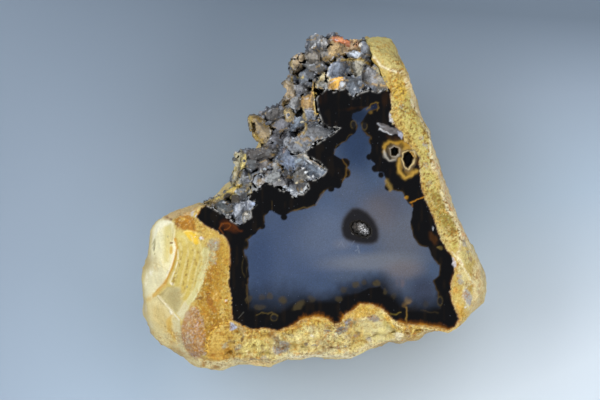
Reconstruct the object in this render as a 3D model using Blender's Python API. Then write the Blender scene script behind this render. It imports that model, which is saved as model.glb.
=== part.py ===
"""A sawn and polished agate nodule, lying on its back with the polished face up.

Four bodies: the yellow host rock round it (rind), the black and blue chalcedony that fills it (agate),
the crust of quartz blades on its upper left (crystal_crust) and the tiny crystals in the pit in the
middle of the face (druse). Metres, +Z up, origin under the middle of the stone on the surface it rests on.
"""
import math
import random

import bmesh
import bpy
from mathutils import Matrix, Vector, noise

# Driving sizes: the stone's width, the heights of its sawn face and of its widest outline, and the depth of
# the chalcedony in it
STONE_WIDTH = 0.076
FACE_HEIGHT = 0.034
GIRTH_HEIGHT = 0.021
POCKET_DEPTH = 0.0165
# The space between two pieces that touch
GAP = 0.0003
# How far a cutter stands past the face that it cuts
CLEAR = 0.003

# The outlines are drawn on a grid, columns to the right and rows downwards. The stone is 346 columns wide.
STEP = STONE_WIDTH / 346
MIDDLE = (315, 199)
# The middle of the rounded back and the middle of the chalcedony
HUB = (318, 240)
POCKET_MIDDLE = (345, 238)

# The widest outline of the host rock, clockwise from the top of the stone
GIRTH = [
    (362, 36), (376, 37), (386, 35), (391, 39), (396, 47), (400, 59), (409, 80), (418, 102), (421, 117),
    (429, 130), (430, 139), (441, 172), (449, 194), (456, 211), (464, 229), (472, 246), (480, 261),
    (485, 272), (488, 288), (487, 298), (479, 308), (468, 318), (458, 327), (448, 332), (441, 329),
    (430, 330), (424, 336), (412, 340), (398, 344), (394, 340), (380, 346), (370, 349), (357, 358),
    (340, 360), (321, 357), (300, 359), (286, 360), (272, 368), (256, 365), (240, 365), (220, 370),
    (200, 368), (186, 360), (176, 352), (162, 345), (151, 336), (147, 322), (142, 313), (143, 290),
    (142, 269), (147, 262), (149, 243), (150, 230), (156, 221), (166, 216), (176, 210), (187, 208),
]
# The rock under the crystals, which stand out past it
LEDGE_RIM = [
    (198, 206), (222, 201), (236, 192), (241, 176), (243, 160), (262, 152), (262, 124), (288, 114),
    (296, 70), (318, 46), (345, 46),
]
# The edge of the sawn face, on the host rock
FACE_RIM = [
    (374, 52), (390, 62), (402, 73), (408, 90), (410, 105), (412, 120), (420, 130), (426, 137), (430, 150),
    (432, 165), (437, 180), (443, 195), (450, 210), (456, 222), (460, 235), (462, 250), (465, 265),
    (470, 275), (472, 285), (466, 296), (463, 306), (462, 320), (456, 326), (448, 330), (441, 327),
    (430, 328), (422, 333), (410, 336), (397, 338), (380, 339), (368, 342), (354, 347), (338, 349),
    (321, 347), (300, 349), (286, 350), (272, 354), (256, 353), (240, 353), (220, 355), (206, 350),
    (194, 338), (184, 322), (180, 300), (177, 262), (176, 240), (177, 226), (184, 216), (192, 211),
]
# The edge of the chalcedony, clockwise, closed behind the crystals that stand on it
AGATE = [
    (391, 88), (391, 110), (389, 117), (400, 131), (412, 149), (419, 158), (421, 184), (424, 197),
    (435, 220), (441, 240), (452, 256), (455, 266), (450, 288), (452, 302), (457, 312), (458, 319),
    (453, 326), (446, 328), (440, 326), (424, 325), (405, 324), (390, 315), (370, 304), (360, 304),
    (344, 316), (340, 323), (326, 318), (314, 316), (302, 319), (294, 325), (277, 331), (252, 329),
    (232, 320), (232, 300), (229, 284), (230, 250), (226, 238), (217, 231), (204, 225), (197, 217),
    (201, 209), (222, 204), (243, 190), (268, 168), (288, 142), (302, 112), (306, 92), (340, 80), (380, 80),
]
# Where the black chalcedony ends and the crystals start, from the top right to the left
CRYSTAL_EDGE = [
    (388, 90), (378, 92), (369, 90), (359, 93), (353, 98), (346, 88), (327, 88), (316, 98), (318, 112),
    (323, 125), (340, 128), (331, 135), (315, 145), (305, 151), (306, 155), (320, 163), (327, 171),
    (319, 179), (306, 181), (309, 188), (303, 194), (295, 199), (288, 191), (272, 184), (265, 182),
    (260, 188), (250, 194), (249, 200), (257, 203), (250, 210), (251, 217), (240, 225), (232, 221),
    (215, 209), (206, 205),
]
# The crystals' free edge, past the rock, from the left to the top
CRUST_RIM = [
    (202, 202), (212, 201), (219, 197), (228, 191), (234, 178), (233, 160), (236, 154), (247, 149),
    (263, 145), (255, 138), (250, 127), (251, 117), (260, 115), (268, 108), (283, 106), (285, 82),
    (290, 78), (290, 68), (293, 60), (308, 50), (310, 34), (319, 33), (327, 41), (339, 36), (349, 44),
    (354, 40), (361, 38),
]
# The crystals' edge against the rock, at the top right of the stone
CRUST_SIDE = [(366, 45), (373, 54), (371, 60), (378, 68), (386, 80)]
# A line well outside the stone, which closes the cut for the crystals
OUTSIDE = [
    (196, 190), (220, 176), (222, 140), (236, 104), (268, 92), (272, 60), (294, 22), (330, 18), (362, 22),
]

# The crystals start just below the face, at the chalcedony, and their general surface falls away from it
CRYSTAL_TOP = 0.0005
CRYSTAL_FALL = 0.33
# They grow from a bed on a flat ledge in the rock. Each has a depth below the face at the innermost crystal,
# and a fall towards the upper left of the stone.
BED_DEPTH, BED_FALL = 0.0022, 0.19
LEDGE_DEPTH, LEDGE_FALL = 0.0058, 0.30
INNERMOST = (303, 194)
UPPER_LEFT = Vector((-0.539, 0.843))
# How deep the crystals sink in the bed, and how far the bed's foot draws in under its free edge
ROOT = 0.0016
FOOT_INSET = 0.0022
BED_MARGIN = 0.0002
# The small crystals between the broad ones
CRYSTAL_TRIES = 1500
CRYSTAL_SPACING = 0.0027
# The broad crystals: outline, height above the general surface, compass angle that the top faces, its slope
PLATES = [
    ([(343, 129), (324, 122), (308, 124), (300, 134), (290, 139), (289, 148), (302, 152), (332, 137)],
     0.0016, 200, 12),
    ([(303, 153), (321, 161), (330, 172), (320, 181), (305, 183), (298, 170)], 0.0012, 130, 14),
    ([(283, 147), (295, 158), (292, 173), (286, 174), (276, 157)], 0.0014, 215, 22),
    ([(294, 154), (308, 156), (306, 170), (297, 171)], 0.0010, 60, 20),
    ([(296, 178), (304, 179), (312, 189), (304, 196), (295, 201), (290, 190)], 0.0013, 300, 16),
    ([(261, 182), (270, 171), (278, 173), (290, 193), (272, 186)], 0.0010, 330, 20),
    ([(344, 81), (358, 76), (357, 94), (353, 100), (345, 90)], 0.0022, 270, 14),
    ([(326, 83), (335, 77), (345, 79), (341, 89), (334, 95), (326, 90)], 0.0016, 30, 18),
    ([(358, 72), (372, 66), (388, 78), (390, 91), (378, 94), (359, 95)], 0.0016, 110, 10),
    ([(331, 66), (340, 59), (349, 63), (348, 73), (338, 78), (329, 76)], 0.0014, 140, 18),
    ([(351, 62), (362, 61), (363, 71), (356, 75), (350, 70)], 0.0012, 40, 16),
    ([(302, 96), (317, 92), (321, 118), (307, 114)], 0.0014, 180, 24),
    ([(290, 121), (302, 115), (306, 125), (293, 131)], 0.0010, 80, 18),
    ([(254, 119), (263, 117), (269, 130), (263, 141), (256, 136)], 0.0018, 170, 22),
    ([(240, 205), (250, 199), (259, 204), (252, 211), (248, 222), (237, 224)], 0.0012, 320, 14),
    ([(358, 47), (365, 42), (374, 55), (366, 60), (356, 56)], 0.0016, 60, 14),
]

# The slopes broken or ground below the face: the ends of the upper edge, its slope in degrees and its depth
SLOPES = [
    ((178, 215), (181, 330), 33, 0),
    ((157, 296), (179, 322), 38, 0.0009),
    ((206, 343), (420, 331), 24, 0),
    ((466, 318), (464, 250), 40, 0),
    ((404, 74), (372, 50), 35, 0),
]

# The two open tubes in the black band: column, row, width and length in grid steps, depth in metres
TUBES = [(393, 152, 10, 12, 0.0034), (407, 159, 10, 15, 0.0040)]

# The pit in the middle of the face: its middle, half its length and width, its depth and its turn in degrees
PIT_MIDDLE = (361, 229)
PIT_LONG, PIT_WIDE, PIT_DEPTH = 0.0027, 0.0018, 0.0019
PIT_TURN = -26
# The small points in it: rings of a count at a share of the pit's size, and the size of one point
POINT_RINGS = [(1, 0), (5, 0.38), (9, 0.67)]
POINT_RADIUS, POINT_HEIGHT = 0.00048, 0.00072


def place(column, row):
    """A point of the grid in metres."""
    return (column - MIDDLE[0]) * STEP, (MIDDLE[1] - row) * STEP


def drawn(outline):
    return [Vector(place(*point)) for point in outline]


def compass(angle):
    return Vector((math.cos(angle), math.sin(angle)))


def signed_area(points):
    return sum(a.x * b.y - b.x * a.y for a, b in zip(points, points[1:] + points[:1])) / 2


def grown(points, distance):
    """The closed outline moved outwards, or inwards where the distance is negative."""
    out = []
    sign = 1 if signed_area(points) < 0 else -1
    sharpest = 0.45
    for before, here, after in zip(points[-1:] + points[:-1], points, points[1:] + points[:1]):
        first = (here - before).normalized()
        second = (after - here).normalized()
        normal = Vector((-first.y - second.y, first.x + second.x)).normalized() * sign
        spread = max(sharpest, abs(normal.dot(Vector((-first.y, first.x)))))
        out.append(here + normal * distance / spread)
    return out


def inside(point, outline):
    """Whether a point lies inside a closed outline."""
    crossings = 0
    for a, b in zip(outline, outline[1:] + outline[:1]):
        if (a.y > point.y) != (b.y > point.y):
            crossings += point.x < a.x + (point.y - a.y) * (b.x - a.x) / (b.y - a.y)
    return crossings % 2 == 1


def reach(outline, angle):
    """How far a closed outline lies from the hub in one direction."""
    hub, ray = Vector(place(*HUB)), compass(angle)
    farthest = 0
    for a, b in zip(outline, outline[1:] + outline[:1]):
        start, edge = a - hub, b - a
        across = ray.cross(edge)
        if across and 0 <= start.cross(ray) / across <= 1:
            farthest = max(farthest, start.cross(edge) / across)
    return farthest


def group(name):
    made = bpy.data.collections.new(name)
    bpy.context.scene.collection.children.link(made)
    return made


def mesh_from(name, shape):
    bmesh.ops.recalc_face_normals(shape, faces=shape.faces)
    mesh = bpy.data.meshes.new(name)
    shape.to_mesh(mesh)
    shape.free()
    return mesh


def piece(name, shape, colour, roughness):
    """One body of the stone with its own material."""
    surface = bpy.data.materials.new(name)
    surface.use_nodes = True
    shader = surface.node_tree.nodes["Principled BSDF"]
    shader.inputs["Base Color"].default_value = (*colour, 1)
    shader.inputs["Roughness"].default_value = roughness
    shader.inputs["Metallic"].default_value = 0
    made = bpy.data.objects.new(name, mesh_from(name, shape))
    made.data.materials.append(surface)
    parts.objects.link(made)
    return made


def cutter(name, shape, into):
    """A body that only cuts or joins others."""
    made = bpy.data.objects.new(name, mesh_from(name, shape))
    made.hide_render = True
    made.display_type = "WIRE"
    into.objects.link(made)
    return made


def combine(item, other, operation="DIFFERENCE"):
    """Cuts a piece by another body, or joins it to all the bodies of a collection."""
    boolean = item.modifiers.new(other.name, "BOOLEAN")
    boolean.operation = operation
    boolean.solver = "EXACT"
    if isinstance(other, bpy.types.Collection):
        boolean.operand_type = "COLLECTION"
        boolean.collection = other
    else:
        boolean.object = other


def prism(points, low, high):
    """A flat outline raised to a solid; low and high give the height over each point."""
    shape = bmesh.new()
    face = shape.faces.new([shape.verts.new((p.x, p.y, 0)) for p in points])
    raised = bmesh.ops.extrude_face_region(shape, geom=[face])["geom"]
    top = {item for item in raised if isinstance(item, bmesh.types.BMVert)}
    for vert in shape.verts:
        vert.co.z = (high if vert in top else low)(vert.co.xy)
    return shape


def saw(shape, point, normal):
    """Cuts off all that lies past a plane and closes the cut."""
    every = shape.verts[:] + shape.edges[:] + shape.faces[:]
    made = bmesh.ops.bisect_plane(
        shape, geom=every, dist=1e-7, plane_co=point, plane_no=normal, clear_outer=True
    )
    rim = [item for item in made["geom_cut"] if isinstance(item, bmesh.types.BMEdge) and item.is_boundary]
    bmesh.ops.holes_fill(shape, edges=rim, sides=0)


def saw_level(shape, height, up):
    saw(shape, Vector((0, 0, height)), Vector((0, 0, up)))


def saw_slope(shape, start, end, degrees, depth):
    """A sloping cut that would start at a line on the face if it lay no deeper."""
    a, b = Vector(place(*start)), Vector(place(*end))
    away = Vector((b.y - a.y, a.x - b.x)).normalized()
    if away.dot(a - Vector(place(*HUB))) < 0:
        away = -away
    slope = math.radians(degrees)
    normal = Vector((away.x * math.sin(slope), away.y * math.sin(slope), math.cos(slope)))
    saw(shape, Vector((a.x, a.y, FACE_HEIGHT - depth)), normal)


def falling(depth, fall):
    """A plane below the face that falls towards the upper left, as a height over each point."""
    start = Vector(place(*INNERMOST))
    return lambda point: FACE_HEIGHT - depth - fall * UPPER_LEFT.dot(Vector(point) - start)


def crystal_surface(point):
    """The height of the crystals' general surface over a point."""
    edge = drawn(CRYSTAL_EDGE)
    distances = []
    for a, b in zip(edge, edge[1:]):
        share = max(0.0, min(1.0, (point - a).dot(b - a) / (b - a).length_squared))
        distances.append((point - a - (b - a) * share).length)
    return FACE_HEIGHT - CRYSTAL_TOP - CRYSTAL_FALL * min(distances)


def nodule():
    """The whole lumpy body: a ball pushed out to the outlines of the girth and the face, then sawn."""
    meridians, rings = 108, 22
    # The sawn face lies this far up the ball, and the foot this far down the back
    shoulder, foot = 0.85, 0.985
    face_ring = math.sqrt(1 - shoulder ** 2)
    # Below 1 the back bulges between its girth and its foot
    bulge = 0.77
    # The back's outline is evened out over these turns
    turns = (-0.6, -0.3, 0.0, 0.3, 0.6)
    # Large and small lumps: size and height
    large, small = (0.014, 0.0026), (0.006, 0.0012)
    # The share of the lumps at the sides, where the outlines are drawn
    side_share = 0.1
    girth, face = drawn(GIRTH + LEDGE_RIM), drawn(FACE_RIM + LEDGE_RIM)
    hub = Vector(place(*HUB))
    shape = bmesh.new()
    bmesh.ops.create_uvsphere(shape, u_segments=meridians, v_segments=rings, radius=1)
    for vert in shape.verts:
        ring, rise = vert.co.xy.length, vert.co.z
        if ring < 1e-6:
            vert.co = (hub.x, hub.y, GIRTH_HEIGHT + math.copysign(FACE_HEIGHT, rise))
            continue
        angle = math.atan2(vert.co.y, vert.co.x)
        wide, narrow = reach(girth, angle), reach(face, angle)
        if rise >= 0:
            back = 0.0
            radius = narrow + (wide - narrow) * (ring - face_ring) / (1 - face_ring)
            height = GIRTH_HEIGHT + (FACE_HEIGHT - GIRTH_HEIGHT) * rise / shoulder
        else:
            back = min(1.0, -rise * 1.5)
            even = sum(reach(girth, angle + turn) for turn in turns) / len(turns)
            radius = (wide + (even - wide) * back) * ring ** bulge
            height = GIRTH_HEIGHT - GIRTH_HEIGHT * (-rise) ** bulge / foot
        flat = hub + compass(angle) * radius
        spot = Vector((flat.x, flat.y, height))
        lump = sum(noise.noise(spot / size) * tall for size, tall in (large, small))
        lump *= (side_share + (1 - side_share) * back) * min(1.0, ring * 1.8)
        vert.co = spot + Vector((*(compass(angle) * ring), rise)).normalized() * lump
    saw_level(shape, FACE_HEIGHT, 1)
    saw_level(shape, 0, -1)
    for slope in SLOPES:
        saw_slope(shape, *slope)
    return shape


def bowl(growth, above):
    """The space that the chalcedony fills: its outline sunk into the rock and drawn in towards the bottom."""
    middle = Vector(place(*POCKET_MIDDLE))
    # Shares of the depth, and of the outline's size there
    sections = [(0.30, 0.97), (0.60, 0.87), (0.86, 0.66), (1.0, 0.40)]
    levels = [(above, 1.0)] + [(-POCKET_DEPTH * depth - growth, size) for depth, size in sections]
    if above:
        levels.insert(1, (0, 1.0))
    outline = grown(drawn(AGATE), growth)
    shape = bmesh.new()
    floor = shape.faces.new([shape.verts.new((p.x, p.y, FACE_HEIGHT + above)) for p in outline])
    top = floor
    for (_, size), (height, smaller) in zip(levels, levels[1:]):
        made = bmesh.ops.extrude_face_region(shape, geom=[floor])["geom"]
        if floor is not top:
            shape.faces.remove(floor)
        floor = next(item for item in made if isinstance(item, bmesh.types.BMFace))
        for vert in floor.verts:
            vert.co.z = FACE_HEIGHT + height
            vert.co.xy = middle + (vert.co.xy - middle) * smaller / size
    return shape


def tube(column, row, wide, long, depth):
    """A blind hole that narrows downwards, for one of the open tubes in the black band."""
    shape = bmesh.new()
    bmesh.ops.create_cone(
        shape, segments=12, radius1=0.5, radius2=1.1, depth=depth + CLEAR, cap_ends=True, cap_tris=False
    )
    x, y = place(column, row)
    size = Matrix.Diagonal((wide * STEP / 2, long * STEP / 2, 1, 1))
    middle = Matrix.Translation((x, y, FACE_HEIGHT + (CLEAR - depth) / 2))
    bmesh.ops.transform(shape, verts=shape.verts, matrix=middle @ size)
    return shape


def pit_place():
    turned = Matrix.Rotation(math.radians(PIT_TURN), 4, "Z")
    return Matrix.Translation((*place(*PIT_MIDDLE), FACE_HEIGHT)) @ turned


def pit_ball(shrunk):
    """The ball that hollows the pit in the middle of the face, or a smaller one inside it."""
    shape = bmesh.new()
    bmesh.ops.create_uvsphere(shape, u_segments=16, v_segments=10, radius=1)
    size = Matrix.Diagonal((PIT_LONG - shrunk, PIT_WIDE - shrunk, PIT_DEPTH - shrunk, 1))
    bmesh.ops.transform(shape, verts=shape.verts, matrix=pit_place() @ size)
    return shape


def crystal(foot, lean, turn, radius, height, flat, point):
    """A six-sided crystal that narrows to its end, sunk to its foot in what carries it."""
    shape = bmesh.new()
    bmesh.ops.create_cone(
        shape, segments=6, radius1=radius, radius2=radius * point, depth=height, cap_ends=True, cap_tris=False
    )
    bmesh.ops.scale(shape, vec=(1, flat, 1), verts=shape.verts)
    up = Matrix.Translation((0, 0, height / 2))
    pose = Matrix.Translation(foot) @ Matrix.Rotation(turn, 4, "Z") @ Matrix.Rotation(lean, 4, "X") @ up
    bmesh.ops.transform(shape, verts=shape.verts, matrix=pose)
    return shape


def plate(outline, lift, facing, tilt):
    """A broad crystal: its outline raised to a flat top that slopes down towards one side."""
    points = drawn(outline)
    middle = sum(points, Vector((0, 0))) / len(points)
    away, slope = compass(math.radians(facing)), math.tan(math.radians(tilt))
    height = crystal_surface(middle) + lift
    bed = falling(BED_DEPTH, BED_FALL)
    return prism(points, lambda p: bed(p) - ROOT, lambda p: height - slope * away.dot(p - middle))


def crystal_bed():
    """What the crystals grow from. Its foot draws in under the free edge."""
    ledge, top = falling(LEDGE_DEPTH, LEDGE_FALL), falling(BED_DEPTH, BED_FALL)
    shape = prism(grown(bed_outline, BED_MARGIN), ledge, top)
    for vert in shape.verts:
        flat = vert.co.xy
        at_free_edge = min((flat - point).length for point in drawn(CRUST_RIM)) < BED_MARGIN * 3
        if at_free_edge and vert.co.z < (ledge(flat) + top(flat)) / 2:
            vert.co.xy = flat + (Vector(place(*HUB)) - flat).normalized() * FOOT_INSET
            vert.co.z = ledge(vert.co.xy)
    return shape


def small_crystals():
    """Crystals at random spots of the bed, no two too near, each up to about the general surface."""
    bed = falling(BED_DEPTH, BED_FALL)
    low, high = [[pick(p[axis] for p in bed_outline) for axis in (0, 1)] for pick in (min, max)]
    spots = []
    for _ in range(CRYSTAL_TRIES):
        spot = Vector((random.uniform(low[0], high[0]), random.uniform(low[1], high[1])))
        if not inside(spot, bed_outline) or any((spot - other).length < CRYSTAL_SPACING for other in spots):
            continue
        spots.append(spot)
        foot = Vector((spot.x, spot.y, bed(spot) - ROOT))
        height = crystal_surface(spot) - foot.z + random.uniform(-0.0006, 0.0014)
        lean, turn = random.uniform(0.1, 0.7), random.uniform(0, math.tau)
        radius, flat = random.uniform(0.0015, 0.0027), random.uniform(0.45, 1.0)
        point = random.uniform(0.12, 0.5)
        yield crystal(foot, lean, turn, radius, height, flat, point)


def druse_points():
    """Small crystals in rings in the pit."""
    for ring, (count, share) in enumerate(POINT_RINGS):
        for number in range(count):
            angle = math.tau * (number + ring / 2) / count
            flat = Vector((math.cos(angle) * share * PIT_LONG, math.sin(angle) * share * PIT_WIDE, 0))
            foot = pit_place() @ flat
            foot.z = FACE_HEIGHT - PIT_DEPTH * (0.7 - 0.4 * share)
            yield crystal(foot, random.uniform(0, 0.5), angle, POINT_RADIUS, POINT_HEIGHT, 1.0, 0.2)


for item in list(bpy.data.objects):
    bpy.data.objects.remove(item, do_unlink=True)
parts, cutters, crystals, points = [group(name) for name in ("agate", "cutters", "crystals", "points")]
random.seed(11)

# What is cut away first: the ledge that the crystals sit on
ledge_outline = drawn(CRYSTAL_EDGE + OUTSIDE + CRUST_SIDE)
ledge_floor = falling(LEDGE_DEPTH, LEDGE_FALL)
ledge_space = prism(ledge_outline, ledge_floor, lambda point: FACE_HEIGHT + CLEAR)
ledge_cut = cutter("ledge_cut", ledge_space, cutters)

# The host rock, with the pocket for the chalcedony
rind = piece("rind", nodule(), (0.56, 0.47, 0.17), 0.85)
combine(rind, ledge_cut)
combine(rind, cutter("pocket_cut", bowl(GAP, CLEAR), cutters))

# The chalcedony, with the open tubes and the pit
agate = piece("agate", bowl(0, 0), (0.03, 0.045, 0.08), 0.08)
combine(agate, ledge_cut)
for number, sizes in enumerate(TUBES, 1):
    combine(agate, cutter(f"tube_{number}", tube(*sizes), cutters))
combine(agate, cutter("pit", pit_ball(0), cutters))

# The crystals: a bed, the broad ones that show most and the small ones between them, cut off where they meet
# the chalcedony and the face
bed_outline = drawn(CRYSTAL_EDGE + CRUST_RIM + CRUST_SIDE)
crust = piece("crystal_crust", crystal_bed(), (0.22, 0.225, 0.24), 0.35)
for number, sizes in enumerate(PLATES, 1):
    cutter(f"plate_{number}", plate(*sizes), crystals)
for number, shape in enumerate(small_crystals(), 1):
    cutter(f"crystal_{number}", shape, crystals)
crust_space = prism(grown(ledge_outline, -GAP), lambda p: ledge_floor(p) + GAP, lambda p: FACE_HEIGHT - GAP)
combine(crust, crystals, "UNION")
combine(crust, cutter("crust_space", crust_space, cutters), "INTERSECT")

# The druse: a bed in the pit with small points on it
druse_bed = pit_ball(GAP * 1.6)
saw_level(druse_bed, FACE_HEIGHT - PIT_DEPTH * 0.35, 1)
druse = piece("druse", druse_bed, (0.62, 0.66, 0.70), 0.2)
for number, shape in enumerate(druse_points(), 1):
    cutter(f"point_{number}", shape, points)
pit_space = pit_ball(GAP)
saw_level(pit_space, FACE_HEIGHT - GAP, 1)
combine(druse, points, "UNION")
combine(druse, cutter("pit_space", pit_space, cutters), "INTERSECT")
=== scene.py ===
import math

import bpy
import numpy as np
from mathutils import Euler, Matrix, Vector
from mathutils.kdtree import KDTree


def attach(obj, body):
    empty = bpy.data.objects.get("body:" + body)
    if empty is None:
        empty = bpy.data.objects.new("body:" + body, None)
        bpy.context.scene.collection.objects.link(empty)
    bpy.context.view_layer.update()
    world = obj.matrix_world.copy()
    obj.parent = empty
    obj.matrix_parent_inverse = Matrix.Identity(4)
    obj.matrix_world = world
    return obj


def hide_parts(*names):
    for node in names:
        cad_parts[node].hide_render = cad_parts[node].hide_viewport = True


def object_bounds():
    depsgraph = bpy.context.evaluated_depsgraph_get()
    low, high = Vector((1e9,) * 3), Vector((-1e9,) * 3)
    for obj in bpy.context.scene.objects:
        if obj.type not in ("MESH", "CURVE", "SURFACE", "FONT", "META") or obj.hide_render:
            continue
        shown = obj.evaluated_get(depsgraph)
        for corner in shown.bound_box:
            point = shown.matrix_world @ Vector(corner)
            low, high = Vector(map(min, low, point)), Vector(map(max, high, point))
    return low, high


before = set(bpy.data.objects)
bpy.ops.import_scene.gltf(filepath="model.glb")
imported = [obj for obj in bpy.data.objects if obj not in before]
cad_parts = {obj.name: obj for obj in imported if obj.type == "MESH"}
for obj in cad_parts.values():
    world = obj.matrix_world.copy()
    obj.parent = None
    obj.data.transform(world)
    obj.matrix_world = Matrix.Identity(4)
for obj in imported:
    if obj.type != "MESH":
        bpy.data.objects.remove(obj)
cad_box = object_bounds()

# The host rock: the yellow, weathered lava round the chalcedony, one lump sawn across and left rough behind.
# Its face is ground flat beside the chalcedony and broken down in chips and grains towards its edge. It
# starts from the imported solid, which is laid out in fine squares and then worn.

# Places on the stone are given in columns and rows of a grid laid over its face, 346 columns to its width
STONE_WIDTH = 0.076
STEP = STONE_WIDTH / 346
MIDDLE = (315, 199)
FACE_HEIGHT = cad_box[1].z
GIRTH_HEIGHT = 0.021

AGATE_EDGE = [
    (391, 88), (391, 98), (391, 110), (389, 117), (393, 124), (400, 131), (405, 141), (412, 149),
    (419, 158), (419, 168), (421, 184), (424, 197), (429, 209), (435, 220), (437, 229), (441, 240),
    (446, 248), (452, 256), (455, 266), (452, 278), (450, 288), (452, 302), (456, 311), (459, 319),
    (455, 326), (448, 330), (440, 328), (424, 325), (405, 324), (396, 321), (390, 315), (382, 309),
    (370, 304), (360, 304), (352, 310), (344, 316), (340, 323), (332, 322), (326, 318), (314, 316),
    (302, 319), (294, 325), (277, 331), (265, 328), (252, 329), (240, 324), (232, 320), (232, 300),
    (229, 284), (230, 268), (230, 250), (226, 238), (217, 231), (204, 225), (197, 217), (200, 210),
    (206, 205),
]
CRYSTAL_EDGE = [
    (388, 90), (378, 92), (369, 90), (359, 93), (353, 98), (346, 88), (340, 90), (334, 92), (327, 88),
    (316, 98), (318, 112), (323, 125), (331, 127), (340, 128), (331, 135), (315, 145), (305, 151),
    (306, 155), (320, 163), (327, 171), (319, 179), (306, 181), (309, 188), (303, 194), (298, 194),
    (295, 199), (288, 191), (282, 191), (272, 184), (265, 182), (260, 188), (250, 194), (249, 200),
    (257, 203), (250, 210), (251, 217), (240, 225), (232, 221), (224, 215), (215, 209), (206, 205),
]
# The chalcedony's whole outline: the edge against the rock clockwise, then back along the crystals
CHALCEDONY = AGATE_EDGE + CRYSTAL_EDGE[-2::-1]


def place(column, row, height=0.0):
    return Vector(((column - MIDDLE[0]) * STEP, (MIDDLE[1] - row) * STEP, height))


def grid_places(points):
    """The columns and rows of some points in metres."""
    return points[:, 0] / STEP + MIDDLE[0], MIDDLE[1] - points[:, 1] / STEP


def only(thing):
    """Makes one object the only selected and the active one."""
    bpy.ops.object.select_all(action="DESELECT")
    thing.select_set(True)
    bpy.context.view_layer.objects.active = thing


def points_of(thing):
    places = np.empty(len(thing.data.vertices) * 3)
    thing.data.vertices.foreach_get("co", places)
    return places.reshape(-1, 3)


def normals_of(thing):
    ways = np.empty(len(thing.data.vertices) * 3)
    thing.data.vertex_normals.foreach_get("vector", ways)
    return ways.reshape(-1, 3)


def put_points(thing, places):
    thing.data.vertices.foreach_set("co", places.astype(np.float32).ravel())
    thing.data.update()


def near_line(column, row, line, closed=False):
    """How far points lie from a line in grid steps, and how far along it their nearest spot is."""
    nearest = np.full(len(column), 1e9)
    along = np.zeros(len(column))
    run = 0.0
    for (ax, ay), (bx, by) in zip(line, line[1:] + line[:1] if closed else line[1:]):
        length = math.hypot(bx - ax, by - ay)
        share = ((column - ax) * (bx - ax) + (row - ay) * (by - ay)) / length ** 2
        share = np.clip(share, 0, 1)
        away = np.hypot(column - ax - share * (bx - ax), row - ay - share * (by - ay))
        along = np.where(away < nearest, run + share * length, along)
        nearest = np.minimum(nearest, away)
        run += length
    return nearest, along


def depth_inside(column, row, outline):
    """How far points lie inside a closed outline in grid steps, negative outside it."""
    crossings = np.zeros(len(column), int)
    for (ax, ay), (bx, by) in zip(outline, outline[1:] + outline[:1]):
        if ay != by:
            left_of = column < ax + (row - ay) * (bx - ax) / (by - ay)
            crossings += ((ay > row) != (by > row)) & left_of
    return near_line(column, row, outline, True)[0] * np.where(crossings % 2, 1, -1)


def ease(values, low, high):
    """0 below low, 1 above high and a soft rise between."""
    share = np.clip((values - low) / (high - low), 0, 1)
    return share * share * (3 - 2 * share)


def bell(values, half):
    """1 where the values are 0, falling softly to nothing past a half width."""
    return np.exp(-(values / half) ** 2)


def waver(places, size, kind=0):
    """Smooth random values round 0 in lumps of one size. Each kind differs."""
    at = np.asarray(places) / size + np.array((3.7, 1.9, 7.3)) * kind
    corner = np.floor(at).astype(np.int64)
    share = at - corner
    share = share * share * (3 - 2 * share)
    levels = np.random.RandomState(kind).uniform(-0.7, 0.7, 8192)
    total = np.zeros(len(at))
    for step in np.ndindex(2, 2, 2):
        key = (corner + step) @ np.array((73856093, 19349663, 83492791))
        total += levels[key % 8192] * np.prod(np.where(step, share, 1 - share), axis=1)
    return total


def coat(paint, colour, cover):
    """Lays a colour over the paint, as thick as cover says from 0 to 1."""
    paint += (np.array(colour) - paint) * np.clip(cover, 0, 1)[:, None]


def patch(column, row, spot):
    """How far points lie inside an oval: 1 at its middle, 0 on its edge, negative outside."""
    across, down, turn = math.radians(spot[4]), spot[2], spot[3]
    x, y = column - spot[0], row - spot[1]
    u = (x * math.cos(across) + y * math.sin(across)) / down
    v = (y * math.cos(across) - x * math.sin(across)) / turn
    return 1 - np.hypot(u, v)


def keep_colour(thing, name, paint):
    kept = thing.data.attributes.new(name, "FLOAT_COLOR", "POINT")
    whole = np.ones((len(paint), 4), np.float32)
    whole[:, : paint.shape[1]] = paint
    kept.data.foreach_set("color", whole.ravel())


def keep_value(thing, name, values):
    kept = thing.data.attributes.new(name, "FLOAT", "POINT")
    kept.data.foreach_set("value", values.astype(np.float32))


def new_finish(name):
    """A material, its node tree and its shader."""
    finish = bpy.data.materials.new(name)
    finish.use_nodes = True
    return finish, finish.node_tree, finish.node_tree.nodes["Principled BSDF"]


def add(tree, kind, feeds=None, **settings):
    """A node with its settings; feeds gives inputs a value, or an output that feeds them."""
    made = tree.nodes.new(kind)
    for key, value in settings.items():
        setattr(made, key, value)
    for key, value in (feeds or {}).items():
        if isinstance(value, bpy.types.NodeSocket):
            tree.links.new(value, made.inputs[key])
        else:
            made.inputs[key].default_value = value
    return made


def stored(tree, name, output="Fac"):
    return add(tree, "ShaderNodeAttribute", attribute_name=name).outputs[output]


def grains(tree, size, detail=2.0, rough=0.5, kind=0.0):
    """Noise in lumps of one size in metres. Each kind differs."""
    where = add(tree, "ShaderNodeTexCoord").outputs["Object"]
    feeds = {"Vector": where, "W": kind, "Scale": 1 / size, "Detail": detail, "Roughness": rough}
    return add(tree, "ShaderNodeTexNoise", feeds, noise_dimensions="4D").outputs["Fac"]


def between(tree, value, low, high, out_low=0.0, out_high=1.0):
    """A value's rise from low to high, turned into one from out_low to out_high."""
    feeds = {"Value": value, "From Min": low, "From Max": high, "To Min": out_low, "To Max": out_high}
    return add(tree, "ShaderNodeMapRange", feeds, clamp=True).outputs["Result"]


def times(tree, first, second):
    return add(tree, "ShaderNodeMath", {0: first, 1: second}, operation="MULTIPLY").outputs[0]


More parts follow.
